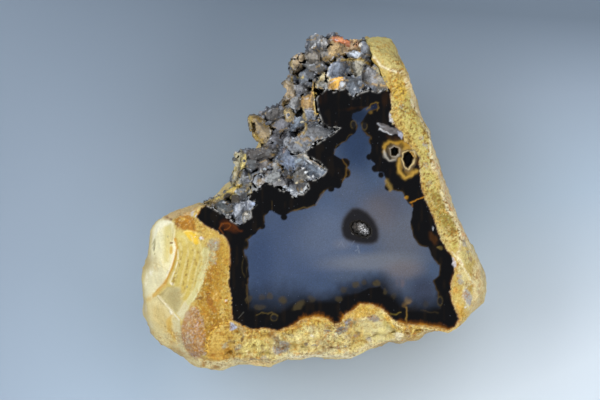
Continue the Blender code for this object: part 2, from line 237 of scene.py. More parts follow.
def mixed(tree, share, first, second, blend="MIX"):
    """Two colours mixed by a share."""
    feeds = {0: share, 6: first, 7: second}
    return add(tree, "ShaderNodeMix", feeds, data_type="RGBA", blend_type=blend).outputs[2]


def relief(tree, shader, height, depth, below=None):
    """Bumps of a depth in metres on a shader, over those already there."""
    feeds = {"Height": height, "Distance": depth, "Strength": 1.0}
    if below:
        feeds["Normal"] = below
    normal = add(tree, "ShaderNodeBump", feeds).outputs["Normal"]
    tree.links.new(normal, shader.inputs["Normal"])
    return normal


# The rock's mesh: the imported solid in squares, finer where the face shows it
BODY_MESH = 0.00083
FINE_BELOW_FACE = 0.0050
# The ground rim round the chalcedony lies this far under the polished face
FACE_GAP = 0.00003


def from_solid(node, name):
    """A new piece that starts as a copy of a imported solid's mesh."""
    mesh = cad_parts[node].data.copy()
    mesh.materials.clear()
    piece = bpy.data.objects.new(name, mesh)
    bpy.context.collection.objects.link(piece)
    return piece


def in_squares(thing, size):
    """Closes a copied solid and lays it out again in squares of one size."""
    only(thing)
    bpy.ops.object.mode_set(mode="EDIT")
    bpy.ops.mesh.select_all(action="SELECT")
    bpy.ops.mesh.remove_doubles(threshold=1e-6)
    bpy.ops.object.mode_set(mode="OBJECT")
    squares = thing.modifiers.new("squares", "REMESH")
    squares.mode = "VOXEL"
    squares.voxel_size = size
    squares.use_smooth_shade = True
    bpy.ops.object.modifier_apply(modifier=squares.name)


def face_middles(thing):
    centres = np.empty(len(thing.data.polygons) * 3)
    thing.data.polygons.foreach_get("center", centres)
    return centres.reshape(-1, 3)


def cut_finer(thing, faces, cuts):
    """Cuts the marked faces into smaller squares."""
    thing.data.polygons.foreach_set("select", faces)
    bpy.ops.object.mode_set(mode="EDIT")
    bpy.ops.mesh.select_mode(type="FACE")
    bpy.ops.mesh.subdivide(number_cuts=cuts)
    bpy.ops.object.mode_set(mode="OBJECT")


rock = from_solid("rind", "host_rock")
in_squares(rock, BODY_MESH)
# Only the face and what lies close under it is cut finer, and not where the crystals cover it
centres = face_middles(rock)
column, row = grid_places(centres)
shown = centres[:, 2] > FACE_HEIGHT - FINE_BELOW_FACE
shown &= depth_inside(column, row, CHALCEDONY) < 4
shown &= (column < 196) | (row > 215) | (column > 360)
cut_finer(rock, shown, 3)

# How the rock is worn. Each wear is a depth along the surface's own direction, in metres.
FACE_RIM = [
    (374, 57), (381, 66), (390, 70), (403, 73), (408, 90), (412, 104), (418, 116), (425, 126), (430, 134),
    (431, 150), (432, 164), (437, 178), (441, 191), (448, 210), (454, 219), (460, 232), (460, 250),
    (457, 254), (463, 265), (470, 275), (473, 285), (466, 296), (463, 305), (463, 320),
]
# The rock's outer edge as seen from above
ROCK_OUTLINE = [
    (372, 37), (386, 37), (391, 40), (396, 46), (398, 52), (400, 58), (403, 64), (406, 70), (408, 76),
    (412, 88), (415, 94), (417, 100), (418, 106), (421, 115), (425, 124), (429, 130), (431, 142),
    (433, 148), (438, 160), (441, 172), (446, 184), (450, 196), (454, 208), (459, 220), (464, 232),
    (467, 238), (474, 250), (480, 262), (485, 274), (488, 285), (488, 293), (487, 298), (483, 304),
    (477, 310), (469, 316), (464, 322), (456, 328), (447, 332), (440, 330), (430, 331), (424, 335),
    (418, 340), (406, 341), (402, 344), (396, 344), (391, 341), (382, 345), (369, 349), (359, 354),
    (352, 358), (340, 359), (325, 359), (321, 357), (310, 357), (300, 359), (286, 359), (280, 362),
    (273, 364), (270, 367), (258, 366), (250, 365), (244, 366), (238, 365), (232, 368), (220, 371),
    (208, 369), (196, 367), (190, 364), (181, 358), (175, 352), (165, 346), (156, 340), (150, 334),
    (147, 328), (147, 322), (142, 316), (143, 305), (143, 292), (142, 280), (143, 274), (142, 268),
    (146, 262), (148, 256), (149, 244), (150, 232), (153, 226), (159, 220), (169, 214), (184, 208),
    (200, 203), (215, 200),
]
GRAINY = [
    (206, 335), (232, 322), (280, 330), (345, 318), (392, 322), (430, 326), (440, 340), (330, 380),
    (200, 380),
]
CRACK = [
    (175, 239), (177, 248), (175, 258), (172, 268), (168, 277), (165, 283), (157, 291), (148, 298),
    (141, 301),
]
BANDED = [
    (177, 238), (186, 232), (200, 240), (210, 250), (208, 264), (201, 287), (190, 305), (180, 300),
    (181, 287), (168, 286), (168, 277), (176, 256),
]
# Rows of small pits in the banded part
PIT_ROWS = [
    [(180, 243), (182, 252), (180, 262), (176, 275), (173, 286)],
    [(187, 247), (189, 258), (187, 270), (185, 284), (184, 292)],
    [(193, 250), (195, 262), (194, 272), (190, 288)], [(199, 252), (201, 260), (199, 270), (195, 282)],
]
DISC = [(207, 362), (208, 342), (213, 331), (221, 324), (231, 321), (236, 340), (233, 362)]
# Where the face is broken down in facets: outline, depth in mm at the middle, the way it falls, its slope
FACETS = [
    ([(144, 230), (158, 219), (168, 215), (174, 224), (175, 239), (177, 248), (172, 268), (165, 283),
     (148, 298), (134, 302), (134, 250)], 0.25, 190, 5),
    ([(134, 303), (157, 296), (168, 308), (180, 321), (181, 332), (186, 350), (196, 372), (150, 372),
     (130, 340)], 0.75, 235, 6),
    ([(158, 296), (167, 287), (181, 287), (183, 300), (178, 312), (173, 312)], 0.3, 200, 12),
    ([(183, 300), (192, 300), (183, 320), (178, 312)], 0.2, 330, 8),
    ([(205, 246), (211, 249), (208, 266), (202, 288), (192, 305), (188, 300), (198, 284), (204, 262)],
     0.12, 20, 6),
    ([(184, 231), (193, 232), (203, 241), (196, 247), (186, 240)], 0.15, 300, 12),
    ([(172, 319), (178, 320), (180, 333), (186, 350), (180, 350), (175, 335)], 0.15, 20, 10),
    (DISC, 0.45, 270, 3),
    ([(360, 322), (376, 319), (388, 321), (396, 329), (396, 341), (376, 346), (362, 343), (356, 332)],
     0.5, 290, 6),
    ([(243, 346), (250, 338), (263, 342), (271, 350), (268, 359), (252, 361), (242, 356)], -0.25, 270, 5),
    ([(296, 338), (304, 328), (322, 327), (334, 334), (344, 340), (336, 350), (310, 352), (298, 350)],
     -0.2, 270, 6),
    ([(274, 346), (284, 338), (294, 334), (292, 346), (286, 352), (276, 352)], 0.5, 200, 14),
    ([(396, 329), (404, 333), (406, 343), (396, 346)], -0.1, 240, 10),
    ([(372, 30), (392, 34), (398, 52), (404, 73), (390, 70), (380, 60)], 0.1, 60, 10),
    ([(455, 262), (462, 266), (470, 278), (472, 288), (462, 284), (455, 278)], 0.3, 20, 12),
]


def snapped(places, outline, most):
    """Places moved onto the nearest spot of an outline, where it is no farther than most grid steps."""
    column, row = grid_places(places)
    best = np.full(len(places), most)
    moved = places.copy()
    for (ax, ay), (bx, by) in zip(outline, outline[1:] + outline[:1]):
        share = (column - ax) * (bx - ax) + (row - ay) * (by - ay)
        share = np.clip(share / max(1e-9, (bx - ax) ** 2 + (by - ay) ** 2), 0, 1)
        x, y = ax + share * (bx - ax), ay + share * (by - ay)
        away = np.hypot(column - x, row - y)
        nearer = away < best
        best = np.where(nearer, away, best)
        moved[nearer, 0] = (x[nearer] - MIDDLE[0]) * STEP
        moved[nearer, 1] = (MIDDLE[1] - y[nearer]) * STEP
    return moved


def drawn_in(places, edge, rest, where):
    """Moves the marked places that stand out past an outline in to it, up to a small unevenness."""
    column, row = grid_places(places)
    over = waver(places, 0.0016, 46) * 2 - depth_inside(column, row, edge + rest)
    over += waver(places, 0.0007, 47) * 1.2
    onto = snapped(places, edge + rest, 60)
    gap = np.linalg.norm((onto - places)[:, :2], axis=1) / STEP
    share = np.clip(over - 0.2, 0, None) / np.maximum(gap, 0.5)
    share = np.minimum(share, 1.3) * (near_line(column, row, edge)[0] < 40) * where
    places = places.copy()
    places[:, :2] += ((onto - places) * share[:, None])[:, :2]
    return places


places = points_of(rock)
ways = normals_of(rock)
column, row = grid_places(places)
outside = -depth_inside(column, row, CHALCEDONY)
corner = (column > 434) & (row > 314)
beside = (outside > -1.5) & (outside < 4.5) & (places[:, 2] > FACE_HEIGHT - 0.0011) & ~corner
places[:, 2] += beside * (FACE_HEIGHT - FACE_GAP - places[:, 2]) * (1 - ease(outside, 3, 4.5))
height = places[:, 2]
in_pocket = ease(depth_inside(column, row, CHALCEDONY), -2.2, -0.6)
in_pocket *= ease(FACE_HEIGHT - height, 0.0001, 0.0006)
CRUST_PLACE = CRYSTAL_EDGE + [(196, 196), (225, 150), (250, 95), (290, 20), (360, 30), (386, 85)]
under_crust = depth_inside(column, row, CRUST_PLACE)
free = (1 - in_pocket) * ease(height, 0.0003, 0.0028) * (1 - ease(under_crust, -4, 0))
on_top = ease(ways[:, 2], 0.5, 0.85) * ease(height, GIRTH_HEIGHT, FACE_HEIGHT - 0.001)
on_disc = ease(depth_inside(column, row, DISC), -1, 1) * (1 - ease(column, 221, 232))
grainy = ease(depth_inside(column, row, GRAINY), -3, 6) * (1 - on_disc)
off_band = ease(outside, 3, 7)
side = 1 - on_top

lumps = waver(places, 0.0065, 1) * 0.0011 + waver(places, 0.0024, 2) * 0.0006
fine = waver(places, 0.0009, 3) * 0.0003 + waver(places, 0.0005, 8) * 0.00015
wear = side * (lumps + 0.0003 + fine)
knobs = np.abs(waver(places, 0.0023, 4)) * 0.0014 + waver(places, 0.0010, 5) * 0.0008 + fine * 1.5
wear += on_top * grainy * off_band * (knobs - 0.0009)
wear += on_top * (1 - grainy) * off_band * fine * 0.4
for outline, depth, falls, slope in FACETS:
    across, down = np.mean(outline, axis=0)
    way = math.radians(falls)
    run = ((column - across) * math.cos(way) - (row - down) * math.sin(way)) * STEP
    sunk = depth / 1000 + run * math.tan(math.radians(slope))
    share = ease(depth_inside(column, row, outline), -0.3, 0.7)
    share *= ease(height, GIRTH_HEIGHT, GIRTH_HEIGHT + 0.006)
    wear -= share * off_band * np.clip(sunk, -0.0003, 0.0016) * ease(on_top, 0, 0.4)
wear -= on_top * bell(near_line(column, row, CRACK)[0], 1.1) * 0.0005
for line in PIT_ROWS:
    away = near_line(column, row, line)[0]
    dots = ease(waver(places, 0.00045, 40), 0.0, 0.3)
    wear -= on_top * bell(away, 1.3) * dots * 0.0003
wear -= FACE_GAP * on_top
places += ways * (wear * free)[:, None]
places[:, 2] = np.minimum(places[:, 2], FACE_HEIGHT - FACE_GAP * (1 - in_pocket))
put_points(rock, drawn_in(places, ROCK_OUTLINE, [(220, 120), (300, 60)], under_crust < -4))

# The rock's own ochre, and outlines that its colours and its grain share
OCHRE = (0.60, 0.46, 0.13)
DISC_EDGE = [(231, 321), (221, 324), (213, 330), (209, 337), (207, 346), (208, 352)]
PURPLE = [
    (191, 306), (197, 308), (203, 320), (206, 335), (205, 349), (199, 359), (192, 359), (186, 351),
    (181, 342), (180, 330), (184, 318),
]
RED_TOP = [(174, 221), (180, 215), (194, 219), (202, 228), (190, 231)]
BLUE_CHIP = [(230, 321), (238, 327), (234, 330), (230, 331)]
OLIVE_FLAT = [
    (358, 326), (366, 320), (386, 321), (396, 328), (396, 340), (378, 342), (364, 336), (356, 332),
]
RIDGE = FACE_RIM[:19]
# Its colours, laid over each other in patches: what it is, colour, softness of its edge, outline. 'its white
# edge' and 'lit facet' are painted highlights, and 'shaded facet', 'its shade' and 'its shaded corner' painted
# shade.
PATCHES = [
    ("top chip", (0.85, 0.8, 0.51), 0.8, [(144, 230), (158, 219), (168, 217), (174, 224), (175, 239),
     (177, 248), (172, 268), (165, 283), (148, 298), (134, 302), (134, 250)]),
    ("its yellow part", (0.7, 0.61, 0.26), 3.0, [(164, 226), (171, 224), (173, 236), (171, 246),
     (168, 262), (164, 262), (163, 240)]),
    ("its white edge", (0.9, 0.86, 0.64), 1.5, [(149, 232), (156, 224), (168, 218), (172, 222),
     (164, 226), (157, 232), (153, 240), (150, 262), (146, 262)]),
    ("its outer side", (0.62, 0.53, 0.25), 1.5, [(138, 262), (148, 250), (148, 228), (156, 218),
     (152, 232), (151, 256), (146, 266), (146, 300), (138, 300)]),
    ("its smooth lower part", (0.76, 0.71, 0.46), 1.2, [(145, 268), (152, 265), (162, 268), (168, 276),
     (160, 286), (148, 297), (143, 299), (144, 275)]),
    ("low chip", (0.7, 0.6, 0.31), 0.8, [(134, 303), (157, 296), (168, 308), (180, 321), (181, 332),
     (186, 350), (196, 372), (150, 372), (130, 340)]),
    ("its tan middle", (0.62, 0.5, 0.22), 4.0, [(152, 306), (162, 306), (170, 322), (170, 336),
     (156, 326)]),
    ("its orange seam", (0.64, 0.44, 0.11), 1.5, [(166, 320), (171, 317), (172, 330), (176, 342),
     (172, 342), (167, 330)]),
    ("its pale side", (0.64, 0.58, 0.34), 0.8, [(172, 319), (180, 321), (181, 333), (186, 350),
     (192, 364), (182, 356), (176, 338)]),
    ("bands", (0.59, 0.47, 0.125), 0.8, BANDED),
    ("yellow over them", (0.66, 0.55, 0.17), 2.5, [(176, 232), (186, 231), (198, 244), (196, 252),
     (184, 246), (176, 244)]),
    ("shaded facet", (0.6, 0.53, 0.27), 1.2, [(158, 296), (167, 287), (181, 287), (183, 300), (178, 314),
     (172, 311)]),
    ("its shade", (0.44, 0.37, 0.17), 4.5, [(164, 297), (172, 288), (182, 290), (182, 302), (176, 312),
     (170, 306)]),
    ("lit facet", (0.64, 0.6, 0.38), 1.2, [(184, 302), (193, 299), (182, 321), (177, 314)]),
    ("smooth band", (0.62, 0.58, 0.28), 0.8, [(202, 246), (211, 249), (209, 264), (203, 282), (196, 298),
     (188, 306), (186, 302), (195, 286), (201, 262)]),
    ("amber grains", (0.45, 0.255, 0.022), 2.0, [(212, 262), (222, 236), (229, 242), (232, 262),
     (231, 290), (234, 322), (214, 330), (206, 340), (203, 312), (196, 303), (203, 288), (208, 272)]),
    ("golden margin", (0.54, 0.36, 0.06), 3.0, [(222, 236), (232, 242), (234, 262), (233, 286),
     (236, 322), (222, 324), (221, 300), (221, 262)]),
    ("purple grains", (0.42, 0.25, 0.125), 1.8, PURPLE),
    ("tan top", (0.54, 0.4, 0.2), 1.2, [(160, 219), (172, 209), (188, 205), (200, 203), (206, 204),
     (197, 210), (190, 216), (178, 217), (170, 221)]),
    ("red top", (0.45, 0.2, 0.018), 1.5, [(174, 221), (180, 216), (188, 215), (194, 219), (200, 226),
     (198, 232), (190, 231), (178, 229)]),
    ("golden top", (0.6, 0.42, 0.09), 1.5, [(194, 220), (208, 226), (218, 230), (226, 240), (216, 238),
     (206, 238), (198, 233)]),
    ("yellow wedge", (0.84, 0.57, 0.05), 0.6, [(184, 232), (192, 231), (199, 236), (201, 242), (196, 245),
     (189, 239)]),
    ("disc", (0.64, 0.44, 0.1), 0.6, DISC),
    ("brown below", (0.58, 0.36, 0.07), 2.5, [(208, 348), (220, 350), (232, 346), (234, 356), (222, 361),
     (208, 361)]),
    ("cream bottom", (0.8, 0.7, 0.38), 1.5, [(184, 360), (196, 358), (212, 362), (234, 358), (246, 360),
     (246, 374), (190, 374)]),
    ("orange bottom", (0.62, 0.44, 0.11), 2.0, [(232, 326), (246, 325), (262, 329), (280, 331),
     (284, 336), (262, 340), (246, 338), (238, 346), (230, 340)]),
    ("yellow knob", (0.8, 0.69, 0.25), 1.2, [(243, 346), (250, 338), (263, 340), (271, 348), (270, 357),
     (252, 357), (242, 355)]),
    ("orange bit under it", (0.86, 0.68, 0.34), 1.0, [(248, 359), (258, 361), (272, 361), (274, 370),
     (248, 370)]),
    ("pale right of it", (0.74, 0.66, 0.34), 1.5, [(268, 346), (276, 350), (288, 353), (286, 362),
     (274, 364), (270, 356)]),
    ("cream knob", (0.8, 0.71, 0.33), 2.0, [(294, 338), (302, 328), (322, 326), (336, 332), (344, 338),
     (340, 352), (310, 353), (298, 350)]),
    ("ochre over it", (0.68, 0.5, 0.12), 1.8, [(280, 332), (300, 321), (316, 317), (330, 319), (334, 327),
     (320, 326), (304, 327), (290, 336)]),
    ("cream foot", (0.82, 0.74, 0.42), 1.5, [(276, 358), (300, 352), (330, 352), (352, 350), (366, 343),
     (386, 337), (392, 341), (366, 362), (276, 366)]),
    ("olive flat", (0.66, 0.6, 0.31), 1.0, OLIVE_FLAT),
    ("its shaded corner", (0.42, 0.38, 0.15), 1.8, [(380, 317), (386, 318), (394, 326), (391, 332),
     (384, 326)]),
    ("amber rim", (0.66, 0.45, 0.09), 1.5, [(344, 318), (352, 309), (360, 303), (372, 304), (380, 310),
     (374, 317), (360, 318), (350, 322)]),
    ("orange wedge", (0.9, 0.63, 0.13), 0.7, [(380, 311), (384, 312), (393, 323), (397, 330), (392, 327),
     (384, 318)]),
    ("amber specks", (0.66, 0.47, 0.12), 1.2, [(401, 326), (420, 326), (422, 334), (412, 341), (402, 340)]),
    ("cream block", (0.88, 0.82, 0.58), 0.8, [(395, 332), (403, 335), (406, 343), (396, 346)]),
    ("pale wedge", (0.82, 0.73, 0.38), 0.8, [(421, 326), (441, 328), (440, 332), (428, 334), (420, 338)]),
    ("top corner", (0.6, 0.52, 0.2), 1.2, [(360, 34), (392, 34), (398, 50), (404, 72), (388, 68),
     (374, 57), (362, 46)]),
    ("olive strip", (0.56, 0.49, 0.15), 1.2, [(392, 78), (406, 80), (408, 92), (412, 112), (424, 130),
     (430, 146), (430, 168), (440, 196), (430, 200), (418, 150), (400, 116), (393, 100)]),
    ("amber strip", (0.66, 0.48, 0.09), 1.5, [(392, 80), (406, 82), (407, 92), (404, 101), (394, 100)]),
    ("dark strip", (0.33, 0.27, 0.055), 2.5, [(428, 190), (440, 192), (449, 212), (457, 226), (452, 238),
     (440, 222)]),
    ("right hollow", (0.68, 0.6, 0.25), 0.9, [(456, 252), (461, 249), (471, 250), (474, 260), (470, 264),
     (462, 262)]),
    ("right facet", (0.74, 0.66, 0.33), 0.9, [(459, 264), (464, 268), (473, 282), (464, 289), (460, 280),
     (457, 272)]),
    ("blue-grey facet", (0.44, 0.45, 0.46), 1.2, [(463, 290), (467, 288), (472, 298), (471, 307),
     (466, 303), (463, 297)]),
    ("right amber", (0.72, 0.5, 0.11), 1.5, [(455, 304), (462, 304), (469, 313), (462, 320), (458, 316)]),
    ("right side", (0.82, 0.71, 0.38), 1.0, [(473, 282), (472, 266), (478, 262), (490, 280), (490, 298),
     (478, 312), (470, 313), (472, 300)]),
]
# Small patches: column, row, half width, half height, turn in degrees, colour
SPOTS = [
    (284, 346, 9, 7.5, -30, (0.32, 0.36, 0.4)), (278, 350, 6, 5, 0, (0.44, 0.44, 0.46)),
    (284, 347, 2.5, 3, 0, (0.22, 0.21, 0.19)), (276, 339, 4, 4, 0, (0.34, 0.27, 0.1)),
    (291, 336, 3.5, 3, 0, (0.5, 0.45, 0.28)), (306, 344.5, 3.2, 2.8, 0, (0.13, 0.13, 0.14)),
    (315, 346, 5, 1.4, 0, (0.26, 0.25, 0.24)), (328, 331, 4.5, 2, 5, (0.25, 0.25, 0.25)),
    (342, 330, 9, 4.2, -15, (0.24, 0.25, 0.27)), (350, 323, 7, 5.6, -30, (0.16, 0.16, 0.16)),
    (346, 322, 3, 2.5, 0, (0.34, 0.35, 0.46)), (374, 319, 8, 4, 15, (0.27, 0.25, 0.25)),
    (357, 335.5, 5, 2, -25, (0.33, 0.25, 0.18)), (370, 339.5, 5.5, 2.4, 15, (0.5, 0.49, 0.46)),
    (237, 349, 5, 3, -40, (0.4, 0.36, 0.25)), (237, 350, 1.6, 1.2, 0, (0.2, 0.2, 0.22)),
    (264, 358.5, 4.5, 1.3, 0, (0.36, 0.36, 0.4)), (252, 359.5, 2.4, 1.2, -10, (0.16, 0.12, 0.07)),
    (270, 359, 1.4, 1.2, 0, (0.14, 0.1, 0.07)), (242, 339, 2.5, 3, 0, (0.14, 0.07, 0.012)),
    (250, 336, 2, 1.6, 10, (0.34, 0.17, 0.02)), (265, 341, 1.6, 3, 0, (0.36, 0.2, 0.03)),
    (313, 336, 2.6, 1.6, 20, (0.96, 0.94, 0.84)), (309, 330, 4, 2, 0, (0.88, 0.8, 0.4)),
    (306, 335, 3.2, 1.8, 0, (0.78, 0.56, 0.16)), (370, 317, 4, 1.3, -15, (0.24, 0.09, 0.02)),
    (372, 317, 1.2, 1.2, 0, (0.05, 0.03, 0.01)), (397, 324, 3.0, 0.9, 45, (0.96, 0.9, 0.66)),
    (408, 336, 1.6, 2.2, 0, (0.26, 0.1, 0.02)), (414, 334, 1.4, 2.8, 20, (0.44, 0.17, 0.02)),
    (405, 331, 1.5, 1.5, 0, (0.4, 0.18, 0.02)), (338, 348, 2.0, 3.2, 20, (0.34, 0.18, 0.11)),
    (345, 346, 2, 1.5, 0, (0.42, 0.42, 0.42)), (336, 337, 4, 4, 0, (0.88, 0.83, 0.55)),
    (322, 341, 3, 1.6, 0, (0.64, 0.38, 0.12)), (330, 347, 5, 1.2, 0, (0.56, 0.34, 0.12)),
    (362, 336, 1.2, 1.0, 0, (0.6, 0.5, 0.4)), (355, 341, 1.6, 1.2, 0, (0.36, 0.26, 0.14)),
    (296, 330, 2.4, 2, 0, (0.56, 0.33, 0.07)), (258, 348, 4, 5, 0, (0.86, 0.78, 0.34)),
    (247, 352, 2.4, 3, 0, (0.88, 0.8, 0.42)), (262, 354, 2.4, 2, 0, (0.74, 0.52, 0.12)),
    (214, 245, 8, 8, 20, (0.35, 0.32, 0.23)), (216.5, 242, 1.8, 1.6, 0, (0.4, 0.42, 0.52)),
    (213, 258, 5, 8, 10, (0.47, 0.42, 0.23)), (216, 263, 1.4, 2.0, 0, (0.4, 0.4, 0.44)),
    (210, 302, 3.5, 9, -10, (0.34, 0.13, 0.01)), (214, 310, 3.5, 5, 0, (0.38, 0.16, 0.012)),
    (208, 293, 5.0, 1.6, -20, (0.24, 0.09, 0.01)), (199, 299, 5, 1.8, -15, (0.2, 0.09, 0.015)),
    (210, 276, 2.6, 6, 10, (0.38, 0.17, 0.015)), (212, 268, 2, 4, 0, (0.42, 0.2, 0.02)),
    (212.5, 326, 1.8, 1.4, 0, (0.32, 0.13, 0.02)), (206, 337, 2.0, 2.5, 0, (0.54, 0.28, 0.04)),
    (217, 297, 5, 8, 0, (0.56, 0.33, 0.05)), (205, 318, 3, 5, 0, (0.56, 0.32, 0.06)),
    (222, 312, 4, 8, 0, (0.64, 0.48, 0.13)), (227, 300, 1.4, 1.4, 0, (0.85, 0.82, 0.74)),
    (177, 225, 4.4, 1.6, 40, (0.22, 0.09, 0.02)), (166.5, 217, 2.6, 1.6, 20, (0.25, 0.13, 0.06)),
    (171, 219.5, 2.0, 1.4, 20, (0.28, 0.15, 0.06)), (188.5, 222, 2.0, 3.0, 0, (0.5, 0.22, 0.025)),
    (183, 219, 3.0, 1.6, 0, (0.72, 0.45, 0.08)), (194.5, 228, 2.5, 1.3, 25, (0.28, 0.17, 0.04)),
    (200, 232, 2.0, 1.2, 25, (0.34, 0.22, 0.05)), (192, 213, 2.4, 3.0, 20, (0.52, 0.5, 0.5)),
    (186.5, 286.5, 1.0, 1.9, 0, (0.03, 0.02, 0.01)), (154, 244, 1.5, 6.5, 4, (0.42, 0.37, 0.19)),
    (153.6, 249, 0.8, 2.6, 8, (0.2, 0.17, 0.09)), (154.5, 254, 0.9, 1.3, 0, (0.4, 0.33, 0.14)),
    (167.5, 236.5, 1.4, 1.6, 0, (0.46, 0.4, 0.2)), (171, 250, 2.2, 5.5, 0, (0.66, 0.42, 0.06)),
    (171.5, 243, 2.4, 1.0, 0, (0.24, 0.12, 0.02)), (175, 240, 1.4, 2.4, 0, (0.6, 0.36, 0.04)),
    # Among these spots, (202, 238) and (196, 237) are a painted glint, and (171.5, 313), (150, 273), (146,
    # 280), (145, 310) and (150, 326) painted highlights on the chips' edges
    (168, 272, 1.5, 3, 30, (0.48, 0.44, 0.3)), (202, 238, 3.0, 1.1, 15, (0.84, 0.86, 0.95)),
    (196, 237, 1.0, 0.8, 0, (0.96, 0.92, 0.8)), (171.5, 313, 1.4, 3.6, -50, (0.94, 0.92, 0.78)),
    (150, 273, 4.5, 1.4, -30, (0.93, 0.91, 0.78)), (146, 280, 1.4, 6, 0, (0.9, 0.87, 0.7)),
    (172, 284, 3, 1.6, 20, (0.86, 0.82, 0.66)), (145, 310, 1.6, 7, 0, (0.9, 0.86, 0.66)),
    (150, 326, 1.6, 5, -35, (0.84, 0.79, 0.56)), (188, 314, 3.4, 5, 20, (0.46, 0.33, 0.2)),
    (196, 325, 3.4, 2.4, 0, (0.5, 0.26, 0.12)), (190, 339, 5, 6, 0, (0.42, 0.32, 0.24)),
    (200, 343, 3, 4, 0, (0.54, 0.38, 0.22)), (193, 355, 3, 2.2, 30, (0.28, 0.22, 0.24)),
    (204, 353, 3, 3, 0, (0.5, 0.42, 0.34)), (189, 324, 2.0, 3.0, 0, (0.56, 0.48, 0.3)),
    (213, 355, 3.0, 2.0, 0, (0.5, 0.24, 0.03)), (222, 354, 2.4, 1.4, 0, (0.48, 0.22, 0.03)),
    (225, 346, 3.4, 5, 30, (0.46, 0.42, 0.28)), (229, 340, 3, 4, 0, (0.34, 0.22, 0.07)),
    (233, 335, 2.6, 1.6, 0, (0.7, 0.42, 0.06)), (402, 107, 3.2, 3.2, 0, (0.34, 0.34, 0.26)),
    (405, 112, 1.6, 1.6, 0, (0.24, 0.22, 0.14)), (421, 138, 3.2, 2.6, -20, (0.44, 0.43, 0.34)),
    (425, 144, 3.2, 3.6, -20, (0.36, 0.36, 0.33)), (427, 148, 2.0, 1.4, 0, (0.62, 0.62, 0.62)),
    (426, 165, 3.6, 4, 0, (0.46, 0.43, 0.28)), (428, 155, 2.6, 3, 0, (0.5, 0.47, 0.28)),
    (429, 184, 2.6, 4, 0, (0.44, 0.4, 0.22)), (433, 198, 3.4, 6, -15, (0.34, 0.26, 0.06)),
    (439, 203, 3.0, 3, -15, (0.36, 0.25, 0.05)), (443, 210, 3.4, 3, 0, (0.52, 0.36, 0.08)),
    (448, 227, 3.4, 2.6, 0, (0.3, 0.19, 0.04)), (453, 231, 2.6, 3.4, -15, (0.28, 0.17, 0.03)),
    (451, 235, 1.6, 1.4, 0, (0.22, 0.12, 0.02)), (446, 237, 2.4, 1.6, 0, (0.62, 0.4, 0.07)),
    (454, 245, 5, 5, 0, (0.56, 0.49, 0.13)), (398, 90, 5, 6, 0, (0.68, 0.45, 0.05)),
    (399, 96, 2.0, 1.2, 0, (0.42, 0.26, 0.04)), (464, 243, 2.6, 5, -20, (0.44, 0.42, 0.38)),
    (468, 252, 3.0, 2.0, 0, (0.42, 0.38, 0.26)), (471, 259, 2.4, 3.4, 0, (0.46, 0.3, 0.14)),
    (460, 276, 3.4, 3.4, 0, (0.45, 0.42, 0.33)), (461, 282, 3.6, 3.0, 0, (0.42, 0.39, 0.32)),
    (457, 282, 1.2, 1.2, 0, (0.2, 0.19, 0.18)), (470, 300, 1.6, 2.4, 0, (0.28, 0.29, 0.33)),
    (466, 306.5, 1.4, 1.2, 0, (0.9, 0.9, 0.86)), (456, 291, 3.0, 3.4, 0, (0.72, 0.43, 0.1)),
    (459, 306.5, 2.0, 1.4, 0, (0.66, 0.36, 0.05)), (478, 274, 3.4, 6, -10, (0.72, 0.54, 0.26)),
    (480, 285, 2.4, 3, 0, (0.66, 0.46, 0.2)), (480, 292, 3.4, 2.4, 20, (0.58, 0.4, 0.2)),
    (480, 302, 3, 3.4, 20, (0.42, 0.36, 0.28)), (463, 312, 4, 5, 0, (0.68, 0.44, 0.07)),
    (459, 322, 3.5, 3, -30, (0.46, 0.34, 0.2)), (458, 322, 1.6, 1.2, 0, (0.16, 0.12, 0.08)),
    (419, 113, 1.2, 8, -25, (0.62, 0.26, 0.1)), (455, 214, 1.2, 7, -25, (0.66, 0.42, 0.2)),
    (442, 182, 1.2, 8, -20, (0.62, 0.42, 0.26)),
]
